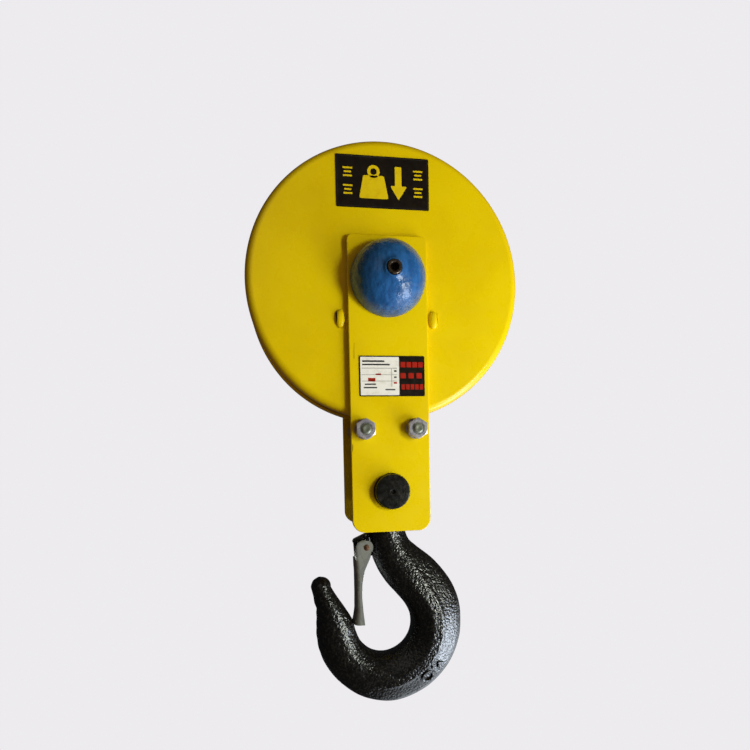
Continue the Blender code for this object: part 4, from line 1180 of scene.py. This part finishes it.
@dataclass
class Crossbeam:
    """The beam between the plates, whose turned ends swing in them, and what lies on it."""

    end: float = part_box("crossbeam")[1].y
    z: float = centre_of("crossbeam").z
    journal: float = 15.9 * MM
    chamfer: float = 1.8 * MM
    centre_hole: float = 2.2 * MM
    length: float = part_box("crossbeam")[1].x * 2
    height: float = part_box("crossbeam")[1].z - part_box("crossbeam")[0].z
    between: float = 32.4 * MM
    bore: float = 15.45 * MM

    def build(self, finishes: Finishes) -> None:
        """Joins the block and its journals, then bores them for the shank."""
        end, radius = self.end, self.journal
        face = [(0.0, end - 1.6 * MM), (self.centre_hole * 0.35, end - 1.5 * MM),
                (self.centre_hole, end - 0.1 * MM), (self.centre_hole + 0.5 * MM, end),
                (radius - self.chamfer, end), (radius - 0.5 * MM, end - 0.55 * MM),
                (radius, end - self.chamfer)]
        journals = turned(face + [(r, -y) for r, y in reversed(face)], 128, None, Side.FRONT.turn)
        outline = box_outline(-self.length / 2, self.length / 2, -self.height / 2, self.height / 2,
                              (4 * MM, 4 * MM), 8)
        block = slab([outline], -self.between, self.between, 0.8 * MM, Side.FRONT.turn)
        beam = boolean(block, journals, "UNION")
        tool = turned([(0.0, self.height), (self.bore, self.height), (self.bore, -self.height),
                       (0.0, -self.height)], 96, None)
        beam = boolean(beam, tool, "DIFFERENCE")
        beam.transform(Matrix.Translation((0, 0, self.z)))
        Piece("crossbeam_forging", beam, "journal", Body.BEAM, ("crossbeam",)).settle(finishes)
        self.thrust_stack(finishes)

    def thrust_stack(self, finishes: Finishes) -> None:
        """Turns the races and the round nut above the beam, and dresses the ball cage."""
        for name, node, body, edge in (
                ("thrust_seat_race", "thrust_lower_race", Body.BEAM, 0.5 * MM),
                ("thrust_top_race", "thrust_upper_race", Body.HOOK, 0.5 * MM),
                ("shank_nut", "hook_nut", Body.HOOK, 1.2 * MM)):
            low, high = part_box(node)
            section = ring_profile(self.bore if body is Body.BEAM else 15.15 * MM, high.x, low.z, high.z,
                                   edge)
            Piece(name, turned(section, 96, None), "steel", body, (node,)).settle(finishes)
        finishes.dress_node("steel", "thrust_balls", "hook_nut_pin")


# --- Hook ---

HOOK_STATIONS = (
    (-18.0, 0.0, 18.0, 0.0, 18.0, 2.0),
    (-18.0, -14.0, 18.0, -15.0, 18.0, 2.0),
    (-16.6, -29.0, 22.0, -29.5, 18.2, 2.1),
    (-14.8, -43.0, 31.0, -38.5, 18.6, 2.3),
    (-9.0, -58.5, 45.5, -50.3, 19.2, 2.5),
    (-0.6, -72.5, 57.5, -63.8, 20.0, 2.7),
    (9.0, -84.0, 66.8, -78.0, 20.6, 2.8),
    (18.0, -95.4, 72.7, -94.0, 21.0, 2.8),
    (23.2, -108.0, 74.5, -111.0, 21.0, 2.8),
    (22.8, -121.5, 72.2, -134.0, 20.6, 2.8),
    (16.8, -132.6, 60.5, -159.5, 20.0, 2.8),
    (6.8, -139.9, 37.5, -180.8, 19.4, 2.8),
    (-4.6, -142.2, 6.0, -191.2, 19.0, 2.65),
    (-16.6, -138.9, -24.5, -185.3, 18.4, 2.5),
    (-26.4, -129.8, -48.5, -168.0, 17.6, 2.38),
    (-31.2, -118.5, -64.0, -145.5, 16.6, 2.3),
    (-34.4, -107.0, -69.6, -123.0, 15.6, 2.25),
    (-40.6, -96.2, -69.5, -100.0, 14.4, 2.2),
    (-48.2, -84.5, -71.7, -85.0, 13.0, 2.15),
    (-54.2, -74.2, -74.0, -73.2, 11.2, 2.1),
)

# The forged section, from the seat (-1) to the back (1): how far out each point stands, as a
# share of the half thickness. The small step past the middle is the die's parting crease.
FORGED_SECTION = (
    (-1.0, 0.0), (-0.975, 0.3), (-0.9, 0.54), (-0.78, 0.72), (-0.6, 0.88), (-0.42, 1.02), (-0.34, 1.075),
    (-0.27, 1.085), (-0.18, 1.075), (-0.02, 1.05), (0.1, 1.03), (0.145, 1.015), (0.175, 0.955),
    (0.3, 0.88), (0.55, 0.72), (0.76, 0.57), (0.9, 0.4), (0.975, 0.2), (1.0, 0.0),
)


@dataclass
class ForgedHook:
    """The drop-forged hook: a loft along its stations, its shank, lug and forging mark."""

    neck_top: float = -208.958 * MM
    ring_steps: int = 13
    around: int = 100
    shank_radius: float = 14.85 * MM
    lug_half: float = 4 * MM
    pin_hole: float = 3.6 * MM
    skin: float = 0.42 * MM
    mark_at: Point = (43.0, -158.5)
    mark_lean: float = math.radians(38)
    lug_outline: tuple[Point, ...] = (
        (-10.0, -20.0), (-21.0, -24.2), (-31.4, -28.9), (-32.8, -31.2), (-30.6, -36.0),
        (-25.5, -43.0), (-18.0, -46.0), (-8.0, -44.0))

    def stations(self) -> list[np.ndarray]:
        """The stations with Catmull-Rom steps between them."""
        rows = np.array(HOOK_STATIONS)
        rows = np.vstack([2 * rows[0] - rows[1], rows, 2 * rows[-1] - rows[-2]])
        out = []
        for before, start, end, after in zip(rows, rows[1:], rows[2:], rows[3:]):
            for t in np.arange(self.ring_steps) / self.ring_steps:
                out.append(start + 0.5 * t * (end - before)
                           + t * t * (before - 2.5 * start + 2 * end - 0.5 * after)
                           + t ** 3 * (1.5 * start - 0.5 * before - 1.5 * end + 0.5 * after))
        return out + [rows[-2]]

    def half_section(self, squareness: float) -> np.ndarray:
        """The section's (across, out) points from seat to back, between round and forged."""
        forged = np.array(FORGED_SECTION)
        angles = np.linspace(math.pi, 0, len(forged))
        oval = np.stack([np.cos(angles), np.sin(angles)], 1)
        lengths = np.concatenate([[0], np.cumsum(np.hypot(*np.diff(forged, axis=0).T))])
        even = np.linspace(0, lengths[-1], self.around // 2 + 1)
        fine = np.stack([np.interp(even, lengths, forged[:, i]) for i in (0, 1)], 1)
        turn = np.interp(even, lengths, angles)
        oval = np.stack([np.cos(turn), np.sin(turn)], 1)
        share = min(1.0, max(0.0, (squareness - 2.0) / 0.8))
        return oval * (1 - share) + fine * share

    def section(self, station: np.ndarray, shrink: float = 1.0) -> list[Vector]:
        """The ring of points round one station, drawn in about its middle by shrink."""
        inner_x, inner_z, outer_x, outer_z, half, squareness = station
        inner, across = Vector((inner_x, 0, inner_z)), Vector((outer_x - inner_x, 0, outer_z - inner_z))
        upper = self.half_section(squareness)
        ring = [*upper, *[(u, -v) for u, v in upper[-2:0:-1]]]
        points = []
        for u, v in ring:
            spot = inner + across * (0.5 + 0.5 * u * shrink)
            spot.y = v * half * shrink
            points.append(Vector((spot.x * MM, -spot.y * MM, self.neck_top + spot.z * MM)))
        return points

    def loft(self) -> Mesh:
        """The hook's body from the neck's top to the rounded point."""
        stations = self.stations()
        rings = [self.section(station) for station in stations]
        direction = Vector((stations[-1][3] - stations[-1][1], 0, stations[-1][0] - stations[-1][2]))
        for angle in np.radians([12, 24, 36, 48, 59, 69, 78, 85]):
            shift = direction.normalized() * (9.8 * MM * math.sin(angle))
            rings.append([p + shift for p in self.section(stations[-1], math.cos(angle))])
        built = bmesh.new()
        loops = [[built.verts.new(p) for p in ring] for ring in rings]
        for upper, lower in zip(loops, loops[1:]):
            for i in range(self.around):
                j = (i + 1) % self.around
                built.faces.new((upper[i], lower[i], lower[j], upper[j]))
        built.faces.new(loops[0])
        built.faces.new(loops[-1])
        mesh = bpy.data.meshes.new("hook_loft")
        built.to_mesh(mesh)
        built.free()
        return mesh

    def forging_skin(self, spot: Vector, normal: Vector) -> Vector:
        """How the forging's skin lies under the ideal surface: swells, pits and die drags."""
        swell = 0.5 + 0.5 * noise.noise(spot * 75)
        pits = 0.5 + 0.5 * noise.noise(spot * 340)
        depth = 0.25 * swell + 0.35 * pits
        x, z = spot.x / MM, (spot.z - self.neck_top) / MM
        # Die drags: slanting ridges down the point's side of the hook.
        drag = max(0.0, min(1.0, (-22 - x) / 16)) * max(0.0, min(1.0, (z + 175) / 30))
        ridge = 0.5 + 0.5 * math.sin((z * 0.62 + x * 0.85 + 3 * noise.noise(spot * 40)) * 1.05)
        depth += 0.9 * drag * ridge * (0.4 + 0.6 * swell)
        # A nick on the point's back edge, where the flash was sheared off.
        nick = math.exp(-((x + 71.5) ** 2 + (z + 95) ** 2) / 9)
        return normal * (-self.skin * (depth + 2.2 * nick))

    def mark(self, body: Mesh) -> Mesh:
        """A plain forging mark raised on the bend's bevel: a ring, a bar and a lozenge.

        Args:
            body: The loft that the mark stands on.

        Returns:
            The mark's three parts, each square to the surface under it.
        """
        tree = BVHTree.FromPolygons([v.co for v in body.vertices], [p.vertices[:] for p in body.polygons])
        lean = Vector((math.cos(self.mark_lean), 0, math.sin(self.mark_lean)))
        start = Vector((self.mark_at[0] * MM, -0.1, self.neck_top + self.mark_at[1] * MM))
        shapes = (
            (-8.5, [arc(0, 0, 6.6 * MM, 0, 360, 48)[:-1], arc(0, 0, 4.6 * MM, 0, 360, 40)[:-1]]),
            (0.5, [box_outline(-1.2 * MM, 1.2 * MM, -6 * MM, 6 * MM, (0.6 * MM, 0.6 * MM), 4)]),
            (8.0, [rounded([(-4.2 * MM, 0), (0, 6 * MM), (4.2 * MM, 0), (0, -6 * MM)], 0.8 * MM, 3, True)]),
        )
        parts = []
        for offset, outlines in shapes:
            spot, normal, _, _ = tree.ray_cast(start + lean * (offset * MM), Vector((0, 1, 0)))
            out = -normal if normal.y > 0 else normal
            along = (lean - out * lean.dot(out)).normalized()
            part = slab(outlines, -4 * MM, 1.8 * MM, 0.35 * MM)
            part.transform(Matrix.Translation(spot)
                           @ Matrix((along, out.cross(along), out)).transposed().to_4x4())
            parts.append(part)
        return joined(parts)

    def build(self, finishes: Finishes) -> None:
        """Lofts the hook, works its skin, then joins the shank, the lug and the mark."""
        mesh = pushed(self.loft(), self.forging_skin)
        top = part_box("hook")[1].z
        low = self.neck_top - 12 * MM
        radius = self.shank_radius
        shank = turned([(0.0, top), (radius - 1.6 * MM, top), (radius - 0.3 * MM, top - 0.9 * MM),
                        (radius, top - 1.6 * MM), (radius, low), (0.0, low)], 96, None)
        outline = rounded([(x * MM, self.neck_top + z * MM) for x, z in self.lug_outline], 2 * MM, 4, True)
        lug = slab([outline], -self.lug_half, self.lug_half, 0.7 * MM, Side.FRONT.turn)
        for tool in (shank, lug, self.mark(mesh)):
            mesh = boolean(mesh, tool, "UNION")
        Piece("hook_forging", mesh, "forging", Body.HOOK, ("hook",), crease=45).settle(finishes)


# --- Latch ---


@dataclass
class SafetyLatch:
    """The latch: a channel bent from strip, hung on a rivet, and pushed shut by a spring."""

    neck_top: float = -208.958 * MM
    pivot: Point = (-20.5, -35.5)
    ear: float = 6.5
    half_width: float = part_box("latch")[1].y
    sheet: float = 1.5 * MM
    bend: float = 4.2 * MM
    web_top: float = -48.0
    left: tuple[Point, ...] = ((-31.0, -34.5), (-30.2, -48.0), (-29.6, -62.0), (-29.5, -80.0),
                               (-29.9, -98.0), (-31.2, -106.0), (-32.4, -110.5))
    right: tuple[Point, ...] = ((-17.0, -45.0), (-22.8, -58.0), (-25.3, -71.0), (-25.7, -84.0),
                                (-24.7, -98.0), (-23.4, -110.5))

    def edges(self, z: float) -> tuple[float, float]:
        """The flange's left and right edges at a height, in drawing millimetres."""
        x0, z0 = self.pivot
        ear_right = arc(x0, z0, self.ear, 97, -50, 24)
        top = ear_right[0]
        left = np.array([(top[0] - 0.4, top[1]), (-24.0, -29.7), (-29.6, -31.4), *self.left])
        right = np.array([*ear_right, *self.right])
        return (float(np.interp(-z, -left[:, 1], left[:, 0])), float(np.interp(-z, -right[:, 1], right[:, 0])))

    def heights(self) -> np.ndarray:
        """The rows' heights from the ear's top to the latch's foot, closer near the ear's top."""
        top = self.pivot[1] + self.ear * math.sin(math.radians(97))
        near = top - 7 * (1 - np.cos(np.linspace(0, math.pi / 2, 14)))
        return np.concatenate([near[:-1], np.linspace(near[-1], self.web_top, 12)[:-1],
                               np.linspace(self.web_top, -110.5, 46)])

    def channel(self) -> Mesh:
        """The bent strip as one open surface: flange, bend, web, bend, flange."""
        flange, corner, web = 12, 6, 14
        built = bmesh.new()
        rows = []
        half = self.half_width
        for z in self.heights():
            left, right = (v * MM for v in self.edges(z))
            # The bend is tight beside the spring, which needs the room, and eases below it.
            bend = 1.6 * MM if z > self.web_top + 0.01 else float(
                np.interp(-z, (64.0, 72.0), (2.2 * MM, self.bend)))
            bend = min(bend, 0.45 * (right - left))
            across: list[tuple[float, float]] = [
                (right + (left + bend - right) * k / flange, -half) for k in range(flange + 1)]
            across += [(left + bend - bend * math.sin(a), -half + bend - bend * math.cos(a))
                       for a in np.linspace(0, math.pi / 2, corner + 1)[1:]]
            across += [(left, (-half + bend) * (1 - 2 * k / web)) for k in range(1, web)]
            across += [(x, -y) for x, y in reversed(across[:flange + corner + 1])]
            rows.append([built.verts.new((x, y, self.neck_top + z * MM)) for x, y in across])
        ears = sum(z > self.web_top + 1e-6 for z in self.heights())
        columns = len(rows[0])
        for index, (upper, lower) in enumerate(zip(rows, rows[1:])):
            for i in range(columns - 1):
                in_web = flange + 2 <= i <= columns - flange - 4
                if index < ears and in_web:
                    continue
                built.faces.new((upper[i], lower[i], lower[i + 1], upper[i + 1]))
        bmesh.ops.delete(built, geom=[v for v in built.verts if not v.link_faces], context="VERTS")
        bmesh.ops.recalc_face_normals(built, faces=built.faces)
        mesh = bpy.data.meshes.new("latch_sheet")
        built.to_mesh(mesh)
        built.free()
        return mesh

    def build(self, finishes: Finishes) -> None:
        """Thickens the strip inwards, dishes it a little, and sets the rivet."""
        helper = link_object("helper", self.channel())
        wall = helper.modifiers.new("wall", "SOLIDIFY")
        wall.thickness, wall.offset = self.sheet, -1.0
        edge = helper.modifiers.new("edge", "BEVEL")
        edge.width, edge.segments, edge.limit_method, edge.angle_limit = 0.25 * MM, 2, "ANGLE", math.radians(60)
        mesh = evaluated_mesh(helper)
        drop(helper)

        def dents(spot: Vector, normal: Vector) -> Vector:
            return normal * (-0.12 * MM * (1 + noise.noise(spot * 120)))

        Piece("latch_channel", pushed(mesh, dents), "strip", Body.LATCH, ("latch",), crease=38).settle(finishes)
        self.rivet(finishes)
        finishes.dress_node("wire", "latch_spring")

    def rivet(self, finishes: Finishes) -> None:
        """A rivet with hammered, lopsided heads."""
        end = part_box("latch_pin")[1].y
        seat = self.half_width + 0.3 * MM
        head, shank = 4.4 * MM, 3.3 * MM
        half = [(0.0, end), (head * 0.35, end - 0.08 * MM), (head * 0.62, end - 0.3 * MM),
                (head * 0.85, end - 0.7 * MM), (head, end - 1.15 * MM), (head - 0.15 * MM, seat), (shank, seat)]
        place = Matrix.Translation((self.pivot[0] * MM, 0, self.neck_top + self.pivot[1] * MM)) @ Side.FRONT.turn
        mesh = turned(half + [(r, -y) for r, y in reversed(half)], 40, None, place)

        def hammered(spot: Vector, normal: Vector) -> Vector:
            blow = noise.voronoi(spot * 480)[0][0]
            return normal * (-0.22 * MM * max(0.0, 0.9 - blow) if abs(spot.y) > seat else 0.0)

        Piece("latch_rivet", pushed(mesh, hammered), "browned", Body.HOOK, ("latch_pin",),
              crease=50).settle(finishes)


# --- Labels ---


@dataclass
class Labels:
    """The capacity label on the cover and the data label on the plate, with plain print."""

    ink: float = 0.06 * MM
    sunk: float = 0.1 * MM

    def face(self, node: str) -> tuple[float, float, float, float, float]:
        """A label's centre x and z, half width, half height, and outer face height."""
        low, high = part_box(node)
        return ((low.x + high.x) / 2, (low.z + high.z) / 2, (high.x - low.x) / 2,
                (high.z - low.z) / 2, -low.y)

    def print_on(self, node: str, shapes: Sequence[Sequence[Sequence[Point]]], layer: int) -> Mesh:
        """Prints filled shapes, drawn in mm from the label's centre, on its face."""
        x, z, _, _, face = self.face(node)
        meshes = []
        for outlines in shapes:
            scaled = [[(px * MM, pz * MM) for px, pz in outline] for outline in outlines]
            meshes.append(slab(scaled, face - self.sunk, face + layer * self.ink, 0.0,
                               Matrix.Translation((x, 0, z)) @ Side.FRONT.turn))
        return joined(meshes)

    def plate(self, node: str, name: str, finish: str, finishes: Finishes) -> None:
        """The film itself, with lightly rounded corners."""
        x, z, half, tall, face = self.face(node)
        outline = box_outline(-half, half, -tall, tall, (1.2 * MM, 1.2 * MM), 5)
        mesh = slab([outline], face - 0.3 * MM, face, 0.08 * MM,
                    Matrix.Translation((x, 0, z)) @ Side.FRONT.turn)
        Piece(name, mesh, finish, Body.FRAME, (node,)).settle(finishes)

    @staticmethod
    def bar(x: float, z: float, width: float, height: float, corner: float = 0.3) -> list[list[Point]]:
        """A printed bar about a centre, in mm."""
        return [box_outline(x - width / 2, x + width / 2, z - height / 2, z + height / 2,
                            (corner, corner), 3)]

    def capacity(self, finishes: Finishes) -> None:
        """A weight and a downward arrow in yellow, with small blocks of bars at the sides."""
        self.plate("capacity_label", "capacity_film", "black_film", finishes)
        weight = rounded([(-21.5, -14.5), (5.0, -14.5), (1.0, 5.5), (-17.5, 5.5)], 1.6, 4, True)
        ring = [arc(-8.25, 9.0, 5.6, 0, 360, 40)[:-1], arc(-8.25, 9.0, 2.9, 0, 360, 28)[:-1]]
        arrow = rounded([(11.0, 14.2), (17.0, 14.2), (17.0, -2.6), (22.0, -2.6), (14.0, -14.8),
                         (6.6, -2.6), (11.0, -2.6)], 0.8, 3, True)
        shapes = [[weight], ring, [arrow]]
        for x in (-31.5, 32.0):
            for z in (7.6, -7.6):
                shapes += [self.bar(x, z + dz, width, 1.5) for dz, width in
                           ((3.6, 8.6), (0.2, 6.4), (-3.2, 8.0))]
        print_mesh = self.print_on("capacity_label", shapes, 1)
        Piece("capacity_print", print_mesh, "yellow_ink", Body.FRAME).settle(finishes)
        _, _, half, tall, _ = (v / MM for v in self.face("capacity_label"))
        border = [[box_outline(-half + 1.1, half - 1.1, -tall + 1.1, tall - 1.1, (0.8, 0.8), 4),
                   box_outline(-half + 1.5, half - 1.5, -tall + 1.5, tall - 1.5, (0.6, 0.6), 4)]]
        Piece("capacity_border", self.print_on("capacity_label", border, 1), "dark_ink",
              Body.FRAME).settle(finishes)

    def data(self, finishes: Finishes) -> None:
        """A white panel of lines and bars beside a black one with three red bars."""
        self.plate("data_label", "data_film", "black_film", finishes)
        panel = [self.bar(-11.2, 0, 35.0, 34.0, 0.6)]
        Piece("data_panel", self.print_on("data_label", panel, 1), "white_film", Body.FRAME).settle(finishes)
        dark = [self.bar(-17.0, 13.2, 20.0, 1.5), self.bar(-14.5, 10.2, 25.0, 1.3),
                self.bar(-20.0, -7.2, 10.0, 1.2), self.bar(-20.0, -10.2, 12.0, 1.2),
                self.bar(-2.0, -12.0, 9.0, 1.2), self.bar(2.8, 4.5, 2.4, 1.4), self.bar(2.8, -1.0, 2.4, 1.4)]
        Piece("data_lines", self.print_on("data_label", dark, 2), "dark_ink", Body.FRAME).settle(finishes)
        grey = [self.bar(-11.5, 7.0, 32.0, 0.5, 0.1), self.bar(-0.6, -1.5, 0.5, 16.0, 0.1),
                self.bar(-11.5, 1.2, 32.0, 0.4, 0.1), self.bar(-11.5, -4.4, 32.0, 0.4, 0.1)]
        Piece("data_rules", self.print_on("data_label", grey, 2), "grey_ink", Body.FRAME).settle(finishes)
        red = [self.bar(9.9 + step * k, z, wide, 4.8, 0.4) for z, count, step, wide in
               ((10.2, 4, 5.4, 4.3), (0.4, 3, 7.4, 5.0), (-9.6, 5, 4.2, 3.3)) for k in range(count)]
        red += [self.bar(-18.6, -3.2, 6.5, 3.2), self.bar(-12.6, 1.6, 5.0, 1.4), self.bar(2.8, -6.0, 3.0, 1.6)]
        Piece("data_marks", self.print_on("data_label", red, 2), "red_ink", Body.FRAME).settle(finishes)

    def build(self, finishes: Finishes) -> None:
        """Lays both labels."""
        self.capacity(finishes)
        self.data(finishes)


# --- Studio ---


@dataclass
class Studio:
    """A pale floor that sweeps up behind, soft light from the lower right, and the camera."""

    floor_z: float = -0.62
    sweep: float = 5.0
    backdrop: str = "EDEBEE"
    camera_at: tuple[float, float, float] = (-0.0878, -0.5257, -0.1486)
    camera_turn: tuple[float, float, float] = (87.235, 1.107, -9.427)
    lens: float = 26.29
    shift: Point = (-0.011, 0.1303)

    def floor(self) -> None:
        """The floor and its sweep: pale, and lit evenly so that it has no horizon."""
        rim = [(0.0, self.floor_z), (self.sweep * 0.7, self.floor_z)]
        rim += [(self.sweep * 0.7 + 1.5 * math.sin(a), self.floor_z + 1.5 * (1 - math.cos(a)))
                for a in np.linspace(0, math.pi / 2, 24)[1:]]
        rim += [(self.sweep * 0.7 + 1.5, self.floor_z + 9.0)]
        mesh = bpy.data.meshes.new("studio_sweep")
        mesh.from_pydata([(r, -h, 0) for r, h in rim], [(i, i + 1) for i in range(len(rim) - 1)], [])
        work = Paintwork("matt_studio_paper")
        work.set(Roughness=1.0, Emission_Strength=1.0, Emission_Color=linear(self.backdrop),
                 Base_Color=(0.0, 0.0, 0.0, 1.0), Specular_IOR_Level=0.0)
        made = run_nodes(mesh, TREES["lathe"], Steps=96, Finish=work.material)
        made.polygons.foreach_set("use_smooth", [True] * len(made.polygons))
        obj = link_object("studio_sweep", made)
        obj.visible_diffuse = obj.visible_glossy = obj.visible_shadow = False

    def area(self, name: str, at: Sequence[float], aim: Sequence[float], power: float,
             size: Point, colour: str) -> Object:
        """One rectangular soft light that faces its aim."""
        light = bpy.data.lights.new(name, "AREA")
        light.shape, light.size, light.size_y = "RECTANGLE", *size
        light.energy, light.color = power, linear(colour)[:3]
        obj = link_object(name, light)
        obj.location = at
        obj.rotation_euler = (Vector(aim) - Vector(at)).to_track_quat("-Z", "Y").to_euler()
        return obj

    def world(self) -> None:
        """Soft room light, a little brighter from the lower right and from the front."""
        world = bpy.data.worlds.new("soft_room")
        world.use_nodes = True
        tree = world.node_tree
        tree.nodes.clear()
        where = add(tree, "ShaderNodeTexCoord").outputs["Generated"]

        def glow(aim: tuple[float, float, float], span: Point, level: Point, colour: str) -> bpy.types.Node:
            """A background that brightens from one level to the other towards its aim."""
            facing = add(tree, "ShaderNodeVectorMath", {0: where, 1: Vector(aim).normalized()},
                         operation="DOT_PRODUCT").outputs["Value"]
            strength = add(tree, "ShaderNodeMapRange", {
                "Value": facing, "From Min": span[0], "From Max": span[1], "To Min": level[0],
                "To Max": level[1]}, interpolation_type="SMOOTHSTEP").outputs["Result"]
            return add(tree, "ShaderNodeBackground", {"Color": linear(colour), "Strength": strength})

        room = glow((0.9, -0.05, -0.4), (-0.3, 0.95), (0.08, 0.6), "F4C490")
        # What gloss mirrors is the bright bay behind and below, on the right.
        mirrored = glow((0.66, 0.22, -0.72), (0.72, 0.97), (0.025, 1.4), "E2ECF6")
        seen = add(tree, "ShaderNodeLightPath").outputs["Is Glossy Ray"]
        both = add(tree, "ShaderNodeMixShader", {
            0: seen, 1: room.outputs["Background"], 2: mirrored.outputs["Background"]})
        out = add(tree, "ShaderNodeOutputWorld")
        tree.links.new(both.outputs["Shader"], out.inputs["Surface"])
        bpy.context.scene.world = world

    def camera(self) -> None:
        """The camera, low and to the left, square to the block's face but for a small turn."""
        data = bpy.data.cameras.new("camera")
        data.lens, data.sensor_width = self.lens, 36.0
        data.shift_x, data.shift_y = self.shift
        data.clip_start, data.clip_end = 0.01, 50.0
        obj = link_object("camera", data)
        obj.location = self.camera_at
        obj.rotation_euler = [math.radians(a) for a in self.camera_turn]
        bpy.context.scene.camera = obj

    def build(self) -> None:
        """Sets up the stage, the lights and the camera."""
        self.camera()
        self.floor()
        self.world()
        middle = (0.0, -0.04, -0.12)
        core = self.area("key_core", (0.37, -0.59, -0.09), middle, 2.2, (0.13, 0.13), "F6FFE8")
        # The core is small for its crisp shadows; what mirrors in the paint is the halo round it.
        core.visible_glossy = False
        self.area("key_halo", (0.53, -0.55, -0.33), middle, 2.1, (0.24, 0.24), "FAFFF2")
        self.area("window_light", (0.74, -0.34, -0.76), middle, 7.0, (0.5, 0.5), "E4F0FF")
        rear = self.area("rear_light", (0.5, 1.4, 0.2), middle, 8.0, (1.0, 1.0), "FFFFFF")
        rear.visible_glossy = False
        self.area("fill_light", (-0.6, -1.3, 0.7), middle, 0.8, (1.0, 1.0), "F6F4F0")
        bpy.context.scene.view_settings.view_transform = "Standard"


def main() -> None:
    """Builds the sub-assemblies in order round the frame."""
    logging.basicConfig(level=logging.INFO, format="%(name)s: %(message)s")
    Studio().build()
    finishes = Finishes()
    for assembly in (SheaveWheel(), CoverShells(), GuardBand(), SidePlates(), DomesAndStubs(),
                     TieBolts(), Crossbeam(), ForgedHook(), SafetyLatch(), Labels()):
        LOG.info("building %s", type(assembly).__name__)
        assembly.build(finishes)


if __name__ == "__main__":
    main()
